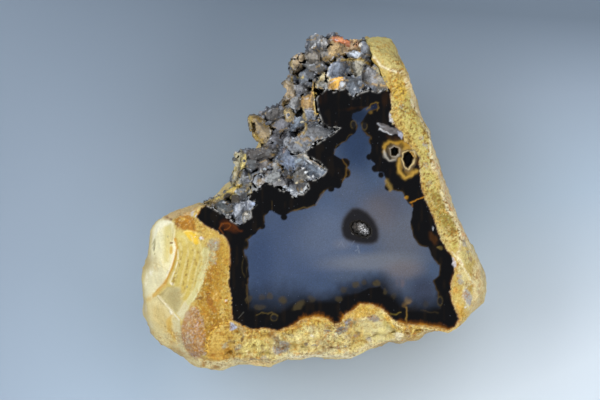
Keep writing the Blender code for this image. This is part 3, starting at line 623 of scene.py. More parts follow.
# Fine lines: points, colour, half width in grid steps, strength
ROCK_LINES = [
    (CRACK[:7], (0.68, 0.38, 0.04), 1.35, 0.95),
    # painted highlights on the lips of the crack, this line and the next
    ([(174, 243), (175, 250), (173, 259), (170, 268), (166, 277)], (0.93, 0.89, 0.7), 0.8, 0.85),
    ([(178, 250), (178, 259), (175, 270), (170, 282)], (0.9, 0.86, 0.64), 0.8, 0.7),
    ([(166, 281), (160, 290), (152, 297), (143, 302)], (0.68, 0.43, 0.12), 1.4, 0.9),
    ([(174, 224), (173, 232), (172, 240)], (0.5, 0.42, 0.18), 0.9, 0.7),
    ([(150, 262), (157, 264), (164, 268), (170, 272)], (0.6, 0.52, 0.26), 0.6, 0.6),
    # a painted highlight along the chip's edge, and on the next line the painted shadow under its step
    ([(158, 296), (166, 305), (174, 314), (179, 320)], (0.94, 0.91, 0.72), 0.8, 0.85),
    ([(157, 297), (165, 307), (172, 315)], (0.45, 0.38, 0.2), 0.5, 0.7),
    ([(173, 314), (168, 319), (167, 324)], (0.66, 0.46, 0.14), 0.9, 0.8),
    ([(199, 247), (200, 262), (196, 276), (190, 292)], (0.52, 0.47, 0.2), 0.7, 0.6),
    ([(209, 250), (208, 264), (202, 283), (194, 300)], (0.74, 0.71, 0.42), 0.9, 0.6),
    ([(230, 319), (219, 322), (211, 329), (206, 337), (204, 347)], (0.34, 0.15, 0.015), 1.2, 0.7),
    (DISC_EDGE, (0.98, 0.66, 0.12), 1.2, 0.95),
    ([(231, 324), (221, 328), (215, 334), (212, 342)], (0.76, 0.6, 0.2), 1.0, 0.6),
    ([(231, 322), (230, 330)], (0.46, 0.28, 0.05), 0.8, 0.8),
    ([(184, 232), (192, 231), (199, 235)], (0.96, 0.76, 0.26), 0.6, 0.9),
    # a painted highlight along the stone's lower edge
    ([(286, 357), (300, 357), (322, 356), (340, 357), (353, 357)], (0.94, 0.91, 0.7), 1.2, 0.8),
    ([(250, 358), (260, 360), (270, 360)], (0.3, 0.25, 0.16), 0.9, 0.8),
    ([(381, 311), (388, 316), (395, 323), (402, 328)], (0.97, 0.88, 0.5), 0.8, 0.85),
    ([(366, 349), (376, 345), (386, 342), (394, 339)], (0.9, 0.72, 0.36), 1.2, 0.7),
    ([(452, 252), (458, 260), (466, 271), (473, 282), (468, 286), (464, 290)], (0.9, 0.86, 0.6), 0.9, 0.85),
    ([(464, 290), (463, 298), (467, 304), (470, 310)], (0.88, 0.84, 0.62), 0.8, 0.7),
    ([(462, 228), (468, 242), (475, 255), (482, 268), (487, 284), (486, 298)], (0.88, 0.82, 0.6), 2.4, 0.7),
    ([(458, 265), (453, 274), (450, 282), (449, 290), (452, 300), (456, 308), (460, 318)],
     (0.48, 0.26, 0.05), 1.3, 0.85),
    ([(410, 84), (414, 98), (419, 112), (428, 127)], (0.7, 0.36, 0.16), 0.9, 0.5),
]


def height_share(places):
    return ease(places[:, 2], FACE_HEIGHT - 0.0030, FACE_HEIGHT - 0.0012)


def rock_paint(places):
    """The rock's colour at some places, some painted highlights and shade among it, and how grainy it is there.
    """
    column, row = grid_places(places)
    warp = np.stack([waver(places, 0.0012, 11), waver(places, 0.0012, 12)]) * 2.0
    warp += np.stack([waver(places, 0.0005, 15), waver(places, 0.0005, 16)]) * 1.4
    chips = ease(198 - column, 0, 14) * ease(340 - row, 0, 20)
    chips *= 1 - ease(column, 172, 178) * ease(-row, -234, -230)
    warp *= 1 - 0.7 * chips
    rough_column, rough_row = column + warp[0], row + warp[1]
    paint = np.tile(OCHRE, (len(places), 1)).astype(float)
    cloud = waver(places, 0.005, 13)
    blotch = waver(places, 0.0022, 14)
    crumb = waver(places, 0.0007, 17)
    grit = waver(places, 0.0004, 19)
    coat(paint, (0.66, 0.56, 0.22), ease(cloud, 0.0, 0.4) * 0.8)
    coat(paint, (0.52, 0.37, 0.09), ease(-cloud, 0.1, 0.5) * 0.8)
    bottom = ease(row, 300, 325) * ease(rough_column, 225, 240)
    coat(paint, (0.68, 0.56, 0.21), bottom * 0.8)
    coat(paint, (0.84, 0.77, 0.48), bottom * ease(blotch, 0.05, 0.3) * 0.85)
    coat(paint, (0.50, 0.36, 0.12), bottom * ease(-blotch, 0.12, 0.4) * 0.8)
    for _, colour, softness, outline in PATCHES:
        coat(paint, colour, ease(depth_inside(rough_column, rough_row, outline), -softness, softness))
    for *spot, colour in SPOTS:
        coat(paint, colour, ease(patch(rough_column, rough_row, spot), 0.0, 0.4) * 0.9)
    coat(paint, (0.84, 0.74, 0.26), bottom * ease(waver(places, 0.0016, 51), 0.08, 0.26) * 0.4)
    coat(paint, (0.62, 0.38, 0.05), bottom * ease(waver(places, 0.0013, 53), 0.20, 0.36) * 0.3)
    coat(paint, (0.34, 0.32, 0.30), bottom * ease(waver(places, 0.0015, 52), 0.25, 0.40) * 0.35)
    # The banded part and its rows of pits
    banding = near_line(column, row, PIT_ROWS[0])[0] + waver(places, 0.003, 18) * 2
    bands = ease(depth_inside(column, row, BANDED), -0.5, 1)
    coat(paint, (0.74, 0.68, 0.38), bands * ease(np.cos(banding * math.tau / 6.4), 0.2, 0.9) * 0.45)
    coat(paint, (0.58, 0.45, 0.12), bands * ease(crumb + blotch * 0.6, 0.12, 0.4) * 0.6)
    for line in PIT_ROWS:
        away = near_line(column + blotch * 2.5, row, line)[0]
        coat(paint, (0.58, 0.43, 0.10), bell(away, 2.0) * ease(crumb, -0.2, 0.3) * 0.6)
        coat(paint, (0.30, 0.20, 0.04), bell(away, 1.4) * ease(grit + crumb * 0.5, 0.12, 0.35) * 0.8)
    for line, colour, half, strength in ROCK_LINES:
        drawn = near_line(column + warp[0] * 0.4, row + warp[1] * 0.4, line)[0]
        coat(paint, colour, bell(drawn, half) * strength * ease(crumb, -0.6, -0.2))
    # The right-hand flank, and a painted highlight along the ridge above it
    face_side = FACE_RIM + [(440, 340), (380, 360), (300, 200), (360, 60)]
    beyond = ease(-depth_inside(column, row, face_side), 0.5, 2.5)
    beyond *= (column > 374) * (row < 240) * ease(row, 66, 80)
    coat(paint, (0.74, 0.64, 0.40), beyond * 0.9)
    coat(paint, (0.72, 0.44, 0.24), beyond * (row > 80) * ease(crumb + blotch, 0.05, 0.35) * 0.75)
    ridge = bell(near_line(column + warp[0] * 0.5, row, RIDGE)[0], 1.3)
    coat(paint, (0.95, 0.92, 0.70), ridge * ease(blotch, -0.45, 0.0) * 0.9)
    # The edge beside the black band: brown and orange, wider below the chalcedony
    margin = -depth_inside(column, row, AGATE_EDGE + [(300, 150)])
    low = ease(row, 300, 318) * ease(column, 225, 250)
    edge = 1.2 + low * 2.0 + blotch * 2.5 + crumb * 1.5
    coat(paint, (0.56, 0.30, 0.04), ease(edge - margin, 0, 2.2) * 0.75 * height_share(places))
    coat(paint, (0.16, 0.08, 0.02), ease(0.7 + crumb - margin, 0, 1.2) * 0.6 * height_share(places))
    coat(paint, (0.46, 0.53, 0.76), ease(depth_inside(column, row, BLUE_CHIP), -0.4, 0.5))
    back = ease(FACE_HEIGHT - places[:, 2] + cloud * 0.006 + blotch * 0.003, 0.005, 0.011)
    coat(paint, (0.56, 0.46, 0.21), back * 0.85)
    coat(paint, (0.38, 0.27, 0.12), back * ease(cloud, 0.05, 0.35) * 0.6)
    coat(paint, (0.70, 0.64, 0.42), back * ease(-blotch, 0.15, 0.4) * 0.5)
    on_disc = ease(depth_inside(column, row, DISC), -1, 1) * (1 - ease(column, 221, 232))
    grainy = ease(depth_inside(column, row, GRAINY), -3, 4) * (1 - on_disc * 0.8)
    hem = ease(12 - margin, 0, 6) * low
    strip = ease(column, 388, 396) * ease(-row, -250, -236) * (1 - beyond)
    amber = ease(rough_column, 194, 206) * ease(column, 238, 230) * ease(row, 232, 262)
    purple = ease(depth_inside(rough_column, rough_row, PURPLE), -1, 1)
    smooth = np.maximum(bands, chips) * 0.75
    smooth = np.maximum(smooth, ease(depth_inside(column, row, OLIVE_FLAT), -1, 2) * 0.55)
    smooth = np.maximum(smooth, on_disc * 0.35)
    grain = np.clip(0.6 + grainy * 0.45 + amber * 0.45 + purple * 0.6 + strip * 0.4 - smooth, 0.08, 1.15)
    grain += ease(depth_inside(column, row, RED_TOP), -2, 1) * 0.5
    grain += hem * 0.5
    grain *= 0.8 + 0.5 * ease(blotch, -0.2, 0.4)
    speckle = grit * 0.6 + waver(places, 0.00029, 50) * 0.75 + crumb * 0.35
    brown = ease(speckle, 0.13, 0.32) * np.clip(grain, 0, 1) * (0.85 - 0.4 * bottom * (1 - hem))
    coat(paint, (0.42, 0.19, 0.015), brown)
    dark = np.clip(strip * (1 + 0.3 * (blotch > 0)) + grainy * 0.35, 0, 1)
    coat(paint, (0.22, 0.14, 0.025), ease(speckle, 0.20, 0.36) * dark * 0.85)
    coat(paint, (0.82, 0.70, 0.36), ease(-speckle, 0.20, 0.38) * np.clip(grain - amber * 0.4, 0, 1) * 0.4)
    coat(paint, (0.62, 0.50, 0.46), ease(waver(places, 0.00034, 20), 0.26, 0.42) * purple * 0.6)
    return paint, grain


def rock_flecks(tree, shade, grain):
    """Lays the rock's grains over a colour: dark, pale, orange and grey ones."""
    fleck = grains(tree, 0.00052, 4.0, 0.8)
    other = grains(tree, 0.00075, 4.0, 0.75, 7.0)
    sand = grains(tree, 0.00024, 2.0, 0.6)
    dark = times(tree, between(tree, fleck, 0.46, 0.38), grain)
    pale = times(tree, between(tree, fleck, 0.53, 0.62), grain)
    orange = times(tree, between(tree, other, 0.55, 0.62), grain)
    grey = times(tree, between(tree, other, 0.40, 0.33), grain)
    shade = mixed(tree, times(tree, orange, 0.65), shade, (0.60, 0.27, 0.02, 1))
    shade = mixed(tree, times(tree, grey, 0.45), shade, (0.32, 0.29, 0.24, 1))
    shade = mixed(tree, times(tree, dark, 0.75), shade, (0.24, 0.115, 0.015, 1))
    brighter = mixed(tree, 1.0, shade, (1.40, 1.46, 1.45, 1), "MULTIPLY")
    shade = mixed(tree, times(tree, pale, 0.85), shade, brighter)
    shade = mixed(tree, times(tree, between(tree, fleck, 0.63, 0.68), grain), shade, (0.92, 0.86, 0.62, 1))
    deeper = mixed(tree, 1.0, shade, (0.78, 0.70, 0.55, 1), "MULTIPLY")
    return mixed(tree, between(tree, sand, 0.35, 0.65, 0.0, 0.6), shade, deeper), fleck


tint, grain = rock_paint(points_of(rock))
keep_colour(rock, "tint", tint)
keep_value(rock, "grain", grain)
rock_finish, tree, shader = new_finish("weathered yellow lava")
grain_out = stored(tree, "grain")
shade, fleck = rock_flecks(tree, stored(tree, "tint", "Color"), grain_out)
tree.links.new(shade, shader.inputs["Base Color"])
shader.inputs["Roughness"].default_value = 0.55
shader.inputs["Specular IOR Level"].default_value = 0.25
bumps = relief(tree, shader, grains(tree, 0.0008, 4.0, 0.6), 0.00016)
relief(tree, shader, times(tree, fleck, grain_out), 0.00035, bumps)
rock.data.materials.append(rock_finish)
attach(rock, "root")
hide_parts("rind")

# The chalcedony: a black band with a bubbly inner edge round a clouded blue-grey heart, sawn with the rock
# and polished to a mirror. Two tubes open in the band and a pit with a druse in the heart. The slab is one
# sheet in fine squares, cut to its outline and drawn down into the rock.
SQUARE = 0.00018
OVERLAP = 3.0
SLAB_DEPTH = 0.0085
SLAB_FOOT = 0.86
POCKET_MIDDLE = (345, 238)
# Depth in metres and outline of each tube
TUBES = [
    (0.003, [(390.5, 149), (394, 146.5), (399, 148), (399, 153), (396, 156.5), (391, 155.5)]),
    (0.0038, [(403.5, 154), (408, 151), (413.5, 152), (414, 157), (412, 163), (408, 169), (404.5, 165),
     (402.5, 159)]),
]
# Column, row, half sizes, turn in degrees and depth of the pit
PIT = (361, 229, 12.2, 8.2, 26, 0.0019)
HEART = [
    (376, 103), (378, 108), (369, 111), (366, 117), (361, 123), (363, 130), (370, 138), (372, 148),
    (369, 156), (375, 163), (374, 171), (384, 172), (386, 182), (391, 190), (402, 192), (406, 199),
    (414, 208), (411, 222), (413, 238), (418, 244), (428, 247), (431, 256), (439, 265), (439, 275),
    (434, 281), (438, 292), (440, 308), (430, 312), (409, 310), (400, 306), (394, 299), (386, 294),
    (380, 287), (368, 289), (357, 294), (345, 296), (338, 302), (322, 304), (305, 303), (292, 308),
    (280, 313), (258, 312), (248, 310), (247, 295), (248, 270), (244, 250), (246, 239), (256, 234),
    (264, 225), (264, 216), (270, 209), (277, 213), (284, 217), (292, 211), (303, 208), (315, 206),
    (321, 195), (328, 189), (340, 186), (346, 175), (345, 162), (334, 155), (334, 149), (346, 141),
    (355, 132), (357, 125), (351, 118), (352, 113), (366, 108),
]


def grown(outline, distance):
    """A clockwise outline moved outwards by a distance in grid steps."""
    moved = []
    for (ax, ay), (x, y), (bx, by) in zip(outline[-1:] + outline[:-1], outline, outline[1:] + outline[:1]):
        first = Vector((x - ax, y - ay)).normalized()
        second = Vector((bx - x, by - y)).normalized()
        out = Vector((first.y + second.y, -first.x - second.x)).normalized()
        spread = max(0.5, abs(out.dot(Vector((first.y, -first.x)))))
        moved.append((x + out.x * distance / spread, y + out.y * distance / spread))
    return moved


rock_side = grown(AGATE_EDGE, OVERLAP)
slab_outline = rock_side[1:-1] + CRYSTAL_EDGE[::-1]
low = np.min(slab_outline, axis=0) - 2
high = np.max(slab_outline, axis=0) + 2
middle = place(*((low + high) / 2), FACE_HEIGHT)
wide, tall = (high - low) * STEP
bpy.ops.object.select_all(action="DESELECT")
bpy.ops.mesh.primitive_grid_add(
    x_subdivisions=int(wide / SQUARE), y_subdivisions=int(tall / SQUARE), size=1, location=(0, 0, 0)
)
slab = bpy.context.object
slab.name = "chalcedony"
places = points_of(slab) * (wide, tall, 1) + np.array(middle)
put_points(slab, places)
column, row = grid_places(places)
inside = depth_inside(column, row, slab_outline) + waver(places, 0.0009, 21) * 0.7
bpy.ops.object.mode_set(mode="EDIT")
bpy.ops.mesh.select_mode(type="VERT")
bpy.ops.mesh.select_all(action="DESELECT")
bpy.ops.object.mode_set(mode="OBJECT")
slab.data.vertices.foreach_set("select", inside < 0)
bpy.ops.object.mode_set(mode="EDIT")
bpy.ops.mesh.delete(type="VERT")
bpy.ops.mesh.select_all(action="SELECT")
bpy.ops.mesh.region_to_loop()
bpy.ops.object.mode_set(mode="OBJECT")


def chosen(thing):
    marks = np.empty(len(thing.data.vertices), bool)
    thing.data.vertices.foreach_get("select", marks)
    return marks


rim = chosen(slab)
places = points_of(slab)
places[rim] = snapped(places[rim], slab_outline, 1.3)
put_points(slab, places)
column, row = grid_places(places)
finer = np.zeros(len(places), bool)
for _, hole in TUBES:
    finer |= depth_inside(column, row, hole) > -3
bpy.ops.object.mode_set(mode="EDIT")
bpy.ops.mesh.select_mode(type="VERT")
bpy.ops.mesh.select_all(action="SELECT")
bpy.ops.mesh.region_to_loop()
middle = place(*POCKET_MIDDLE, 0)
for drop, size in ((0.0006, 1.0), (SLAB_DEPTH - 0.0006, SLAB_FOOT)):
    bpy.ops.mesh.extrude_region_move(TRANSFORM_OT_translate={"value": (0, 0, -drop)})
    bpy.ops.transform.resize(value=(size, size, 1), center_override=middle)
bpy.ops.mesh.fill()
bpy.ops.mesh.select_all(action="SELECT")
bpy.ops.mesh.normals_make_consistent(inside=False)
bpy.ops.mesh.select_all(action="DESELECT")
bpy.ops.object.mode_set(mode="OBJECT")
marks = np.zeros(len(slab.data.vertices), bool)
marks[: len(finer)] = finer
slab.data.vertices.foreach_set("select", marks)
bpy.ops.object.mode_set(mode="EDIT")
bpy.ops.mesh.subdivide(number_cuts=1)
bpy.ops.object.mode_set(mode="OBJECT")

places = points_of(slab)
column, row = grid_places(places)
top = places[:, 2] > FACE_HEIGHT - 1e-5
sunk = np.zeros(len(places))
# Beyond the chalcedony's edge the sheet runs out into the rock
lying = ease(-depth_inside(column, row, CHALCEDONY), 1.4, 2.8) * (near_line(column, row, AGATE_EDGE)[0] < 5)
lying *= 0.00012
for deep, hole in TUBES:
    share = depth_inside(column, row, hole) + waver(places, 0.0009, 22) * 0.6
    sunk = np.maximum(sunk, deep * ease(share, -0.2, 2.6))
share = patch(column, row, PIT[:5])
sunk = np.maximum(sunk, PIT[5] * np.sqrt(np.clip(share * (2 - share), 0, 1)))
places[:, 2] -= np.where(top, sunk + lying, 0)
put_points(slab, places)
slab.data.shade_smooth()
only(slab)
bpy.ops.object.shade_smooth_by_angle(angle=math.radians(40))

# The heart's clouds: column, row, half width, half height, turn in degrees, colour, strength
CLOUDS = [
    (300, 252, 90, 70, 0, (0.06, 0.09, 0.172), 1.0), (258, 262, 22, 50, 0, (0.04, 0.066, 0.14), 0.85),
    (356, 138, 28, 52, 0, (0.026, 0.047, 0.104), 1.0), (350, 190, 24, 26, 0, (0.08, 0.104, 0.168), 0.7),
    (328, 236, 46, 36, -8, (0.1, 0.133, 0.215), 0.9), (402, 236, 38, 46, 0, (0.104, 0.12, 0.166), 1.0),
    (386, 204, 24, 24, 0, (0.086, 0.096, 0.138), 0.9), (376, 214, 26, 20, 40, (0.15, 0.142, 0.162), 0.45),
    (372, 262, 62, 12, -3, (0.168, 0.186, 0.232), 0.7), (404, 270, 26, 13, 0, (0.165, 0.15, 0.165), 0.65),
    (424, 292, 20, 22, 0, (0.038, 0.048, 0.084), 0.9), (330, 284, 60, 12, 0, (0.05, 0.078, 0.15), 0.8),
    (342, 244, 12, 7, 0, (0.15, 0.165, 0.225), 0.4), (357, 116, 18, 12, 0, (0.014, 0.027, 0.062), 1.0),
    (375, 106, 9, 9, 0, (0.009, 0.015, 0.038), 1.0), (392, 287, 24, 12, 0, (0.076, 0.08, 0.11), 0.5),
    (350, 277, 26, 8, 0, (0.08, 0.106, 0.165), 0.5),
]
# The heart's lower edge, where its blue sinks into black
SINKING = [
    (246, 314), (280, 315), (292, 310), (305, 304), (322, 306), (338, 303), (345, 297), (357, 294),
    (368, 289), (380, 287), (388, 296), (398, 304), (409, 311), (436, 313),
]
# Brown orbs in the heart's lower edge: column, row, half sizes, turn, strength
ORBS = [
    (283, 300.5, 5, 4.6, 0, 1.0), (270, 296, 4, 4, 0, 0.7), (262, 297, 4, 3.6, 0, 0.55),
    (249, 298.5, 3.4, 4, 0, 0.65), (260, 307, 7, 3, 0, 0.6), (298.5, 305.5, 8.4, 4, -38, 0.95),
    (312, 298.5, 4.5, 4, 0, 0.55), (339, 299, 4, 3.6, 0, 0.7), (344, 289.5, 4, 3.8, 0, 0.6),
    (356, 284.5, 4.6, 4.4, 0, 0.9), (364.5, 282.5, 3, 3, 0, 0.6), (376.5, 283, 4, 3.6, 0, 1.0),
    (385.5, 291.5, 2.6, 4.4, -10, 0.7), (394, 296, 3.5, 3.5, 0, 0.4), (426, 304, 3, 4, 0, 0.3),
]
# Dark drops ringed in brown: column, row, half sizes, strength
RINGS = [
    (353.5, 124.5, 2.8, 3.8, 0.45), (364.5, 126, 2.6, 3.9, 0.45), (274, 317.5, 3.4, 3.4, 0.7),
    (440, 301, 2.6, 4.4, 0.35),
]
# Round bays of the band in the heart's edge: column, row, half sizes
BLOBS = [
    (345, 163, 4.6, 4.6), (346, 173, 4.4, 4.6), (338, 185.5, 3.0, 2.8), (284, 217, 3.0, 3.0),
    (369, 157, 2.4, 2.8), (375.5, 168.5, 3.6, 3.4), (381, 175, 2.6, 2.6), (331, 189, 3, 2.6),
    (270, 208, 3, 2.6), (262, 226, 3, 3), (246, 244, 2.4, 5), (246, 266, 2.0, 9), (246, 290, 2.0, 8),
    (388, 187, 3, 3.4), (440, 262, 3, 3), (350, 132, 3, 3), (371, 141, 2, 3),
]
# Pale broken bits along the slab: outline and colour
CHIPS = [
    ([(230, 322), (238, 327), (233, 331), (230, 331)], (0.42, 0.47, 0.68)),
    ([(378, 123.5), (385, 124.5), (392, 127), (398, 129), (403, 133), (402, 138), (397, 135), (390, 133),
     (385, 132), (381, 128.5)], (0.175, 0.165, 0.175)),
    ([(389, 112), (394, 118), (396, 124), (390, 122)], (0.58, 0.6, 0.66)),
    ([(398, 131), (403, 134), (402, 139), (398, 136)], (0.46, 0.5, 0.66)),
    ([(432.5, 225), (434.5, 228), (434, 231), (432.5, 229)], (0.46, 0.48, 0.56)),
    ([(453, 257), (458, 262), (455, 268), (452, 264)], (0.66, 0.64, 0.7)),
    ([(190, 213), (195, 209), (197, 215), (192, 218)], (0.5, 0.53, 0.6)),
]
# Fine lines: points, colour, half width in grid steps, strength
STROKES = [
    ([(425, 197), (417, 199), (410, 203)], (0.5, 0.22, 0.02), 0.7, 0.9),
    ([(406, 307), (407, 315), (406, 324)], (0.3, 0.18, 0.04), 0.55, 0.75),
    ([(391, 314), (396, 314), (401, 313)], (0.16, 0.12, 0.02), 0.6, 0.8),
    ([(421, 311), (430, 312), (438, 313)], (0.07, 0.05, 0.02), 0.6, 0.35),
    ([(257, 315), (261, 312.5), (268, 314), (271, 312.5), (278, 316.5)], (0.085, 0.062, 0.018), 0.55, 0.85),
    ([(239, 318), (244, 313)], (0.1, 0.1, 0.09), 0.5, 0.6),
    ([(243.5, 256), (242, 264), (243, 274), (245, 278)], (0.06, 0.045, 0.015), 0.5, 0.6),
    ([(246, 254), (247.5, 264), (247, 276)], (0.05, 0.035, 0.012), 0.5, 0.5),
    ([(246, 284), (246.5, 294), (246, 303)], (0.07, 0.05, 0.02), 0.5, 0.6),
    ([(271, 201), (272, 206), (272, 211)], (0.06, 0.04, 0.012), 0.45, 0.6),
    ([(338, 246), (341, 242), (344, 247)], (0.2, 0.23, 0.32), 0.5, 0.45),
    ([(352, 245), (354, 241.5)], (0.2, 0.23, 0.32), 0.5, 0.45),
    ([(356, 251), (358, 246.5), (360, 253)], (0.24, 0.28, 0.38), 0.6, 0.5),
    ([(295, 211), (301, 208), (308, 207), (316, 205), (320, 198), (324, 191.5)],
     (0.14, 0.095, 0.03), 0.7, 0.55),
    ([(342, 182), (346, 175), (347, 166), (343, 159)], (0.14, 0.08, 0.015), 0.6, 0.7),
    ([(367, 110), (371, 105), (375, 102), (378, 103)], (0.16, 0.1, 0.02), 0.7, 0.8),
    ([(377, 103), (378.5, 107), (377, 111)], (0.18, 0.11, 0.025), 0.6, 0.6),
    ([(352, 134), (344, 141), (336, 147), (334, 153)], (0.1, 0.065, 0.015), 0.5, 0.6),
    ([(386, 180), (389, 184), (391, 190)], (0.26, 0.18, 0.05), 1.6, 0.8),
    ([(393, 124), (398, 122.5), (404, 121.5)], (0.8, 0.72, 0.45), 0.7, 0.9),
    ([(380, 129), (386, 132.5), (392, 134)], (0.8, 0.84, 0.92), 0.7, 0.85),
    ([(378, 124), (381, 127), (386, 128)], (0.72, 0.78, 0.9), 0.6, 0.7),
    ([(384, 152), (385, 145), (390, 141.5), (396, 143), (400, 150)], (0.42, 0.25, 0.04), 1.7, 0.9),
    ([(384, 151), (385, 157), (389, 160.5), (395, 159), (399, 154)], (0.46, 0.44, 0.4), 1.2, 0.85),
    ([(400, 159), (398.5, 166), (400, 173), (405, 177.5), (411, 175), (417, 171)],
     (0.5, 0.31, 0.06), 1.8, 0.9),
    ([(401, 153), (404, 149), (409, 147), (414, 149), (416, 156)], (0.46, 0.29, 0.06), 1.3, 0.85),
    ([(397, 143), (402, 141), (406, 145), (410, 146)], (0.44, 0.25, 0.03), 1.8, 0.8),
    ([(223, 233), (219, 229), (222, 224), (228, 223), (231, 226), (227, 230), (224, 229)],
     (0.24, 0.07, 0.01), 0.6, 0.6),
    ([(233, 224), (236, 228), (241, 231)], (0.11, 0.03, 0.006), 1.2, 0.6),
]
# Stains and glows: column, row, half width, half height, turn in degrees, colour, strength
STAINS = [
    (406.5, 197.5, 2.6, 3.0, 0, (0.58, 0.29, 0.02), 0.95), (412, 205, 2, 2.2, 0, (0.5, 0.22, 0.02), 0.85),
    (408.5, 300.5, 6.5, 5, -30, (0.22, 0.145, 0.06), 0.8), (404, 305, 3, 4, 0, (0.22, 0.13, 0.035), 0.5),
    (400, 283, 7, 6, 0, (0.15, 0.115, 0.12), 0.4), (371, 112.5, 3.4, 2.4, -10, (0.17, 0.105, 0.02), 0.85),
    (392, 138, 9, 4, 15, (0.1, 0.04, 0.006), 0.8), (406, 146, 8, 6, 30, (0.36, 0.21, 0.035), 0.85),
    (410, 171, 7, 6, -20, (0.34, 0.2, 0.04), 0.7), (402, 167, 3, 8, 20, (0.26, 0.15, 0.03), 0.7),
    (415, 158, 5, 9, 0, (0.16, 0.075, 0.012), 0.7), (387.5, 185, 2.4, 6, -25, (0.26, 0.17, 0.045), 0.7),
    (229, 226, 13, 7, 30, (0.09, 0.024, 0.004), 0.7), (322, 96, 7, 12, 0, (0.03, 0.011, 0.003), 0.5),
    (385, 98, 5, 12, 0, (0.04, 0.016, 0.004), 0.5), (356, 108, 24, 2, -8, (0.034, 0.014, 0.003), 0.5),
    (433, 238, 5, 9, -30, (0.07, 0.026, 0.005), 0.8), (440, 248, 4, 2.5, 30, (0.28, 0.2, 0.05), 0.7),
]

HALO = [
    (348, 212), (352, 207), (359, 207), (367, 212), (374, 220), (379, 229), (381, 238), (379, 244),
    (372, 246), (357, 244), (345, 242), (340, 237), (340, 228), (343, 219),
]

places = points_of(slab)
column, row = grid_places(places)
wobble = waver(places, 0.0011, 23)
rough_column = column + waver(places, 0.0007, 24) * 1.6
rough_row = row + waver(places, 0.0007, 25) * 1.6
heart = depth_inside(column, row, HEART) + waver(places, 0.0016, 26) * 1.5 + waver(places, 0.0007, 27) * 0.9
for x, y, half_wide, half_tall in BLOBS:
    away = np.hypot((column - x) / half_wide, (row - y) / half_tall) - 1
    heart = np.minimum(heart, away * min(half_wide, half_tall))
sinking = near_line(column, row, SINKING)[0]
sinks_over = 20 + 22 * ease(315 - column, 0, 45)
clear = ease((sinking + wobble * 3) / sinks_over, 0.1, 1.0)
blue = ease(heart / (1 + 6 * ease(row, 286, 302)), -0.3, 0.9) * (0.16 + 0.84 * clear)

face_paint = np.tile((0.0030, 0.0030, 0.0038), (len(places), 1)).astype(float)
streaks = waver(places * (1, 0.28, 1), 0.0007, 35)
coat(face_paint, (0.014, 0.009, 0.005), ease(streaks, 0.15, 0.5) * 0.4)
blue_paint = np.tile((0.062, 0.094, 0.168), (len(places), 1)).astype(float)
for *oval, colour, strength in CLOUDS:
    coat(blue_paint, colour, ease(patch(column, row, oval), -0.15, 0.75) * strength)
haze = waver(places, 0.006, 28)
blue_paint *= (1 + haze * 0.12)[:, None]
# The dark halo that shows through round the pit, blurred
halo = np.sqrt(np.clip(patch(column, row, (360, 226, 26, 22, 40)), 0, 1)) * 12
halo = ease(halo + depth_inside(column, row, HALO) - 6, -5, 7.0)
coat(blue_paint, (0.050, 0.046, 0.050), halo)
coat(blue_paint, (0.0135, 0.0135, 0.0170), ease(halo, 0.22, 1.0))
face_paint += (blue_paint - face_paint) * blue[:, None]
# Brown-gold rims where the band meets the heart
gold = bell(heart + 0.4, 0.6) * ease(waver(places, 0.0020, 29), -0.05, 0.35) * ease(sinking, 2, 14)
coat(face_paint, (0.10, 0.060, 0.012), gold * 0.55)
for *oval, strength in ORBS:
    share = patch(rough_column, rough_row, oval)
    coat(face_paint, (0.066, 0.051, 0.024), ease(share, -0.1, 0.5) * strength * 0.75)
for x, y, half_wide, half_tall, strength in RINGS:
    from_ring = (np.hypot((column - x) / half_wide, (row - y) / half_tall) - 1) * half_wide
    coat(face_paint, (0.010, 0.010, 0.012), ease(-from_ring, -0.2, 0.6))
    coat(face_paint, (0.12, 0.088, 0.026), bell(from_ring, 0.55) * ease(wobble, -0.5, 0.1) * strength)

# The edge against the rock: a fuzzy brown and orange fringe, wider along the bottom, and the rock beyond it
margin, along = near_line(column, row, AGATE_EDGE)
flat_along = np.stack([along, along * 0, along * 0], 1)
spikes = waver(flat_along, 1.3, 32)
clumps = waver(flat_along, 7.0, 33)
hump = ease(row, 296, 306) * ease(column, 284, 300) * ease(-column, -396, -384)
foot = ease(row, 312, 320) * ease(column, 394, 404) * ease(-column, -456, -440)
fringe = 0.9 + hump * (1.6 + clumps * 1.6) + foot * (2.4 + clumps)
fringe += spikes * (0.4 + hump * 1.2 + foot * 0.8)
fringe += wobble
coat(face_paint, (0.050, 0.018, 0.004), ease(fringe * 1.7 - margin, 0, 2.0) * 0.9)
coat(face_paint, (0.25, 0.092, 0.008), ease(fringe * 0.9 - margin, 0, 1.5) * (0.65 + clumps * 0.5))
coat(face_paint, (0.46, 0.22, 0.022), ease(fringe * 0.35 - margin, 0, 0.6) * ease(clumps, -0.3, 0.3) * 0.8)
for *oval, colour, strength in STAINS:
    share = ease(patch(rough_column, rough_row, oval), 0, 0.7) * (0.65 + streaks * 0.9)
    coat(face_paint, colour, share * strength)
for line, colour, half, strength in STROKES:
    coat(face_paint, colour, bell(near_line(rough_column, rough_row, line)[0], half) * strength)
jagged = wobble * 0.7 + waver(places, 0.0005, 54) * 1.5
beyond = ease(-depth_inside(column, row, CHALCEDONY) + jagged, -0.3, 0.5) * ease(6 - margin, 0, 2)
beyond_paint, beyond_grain = rock_paint(places)
face_paint += (beyond_paint - face_paint) * beyond[:, None]
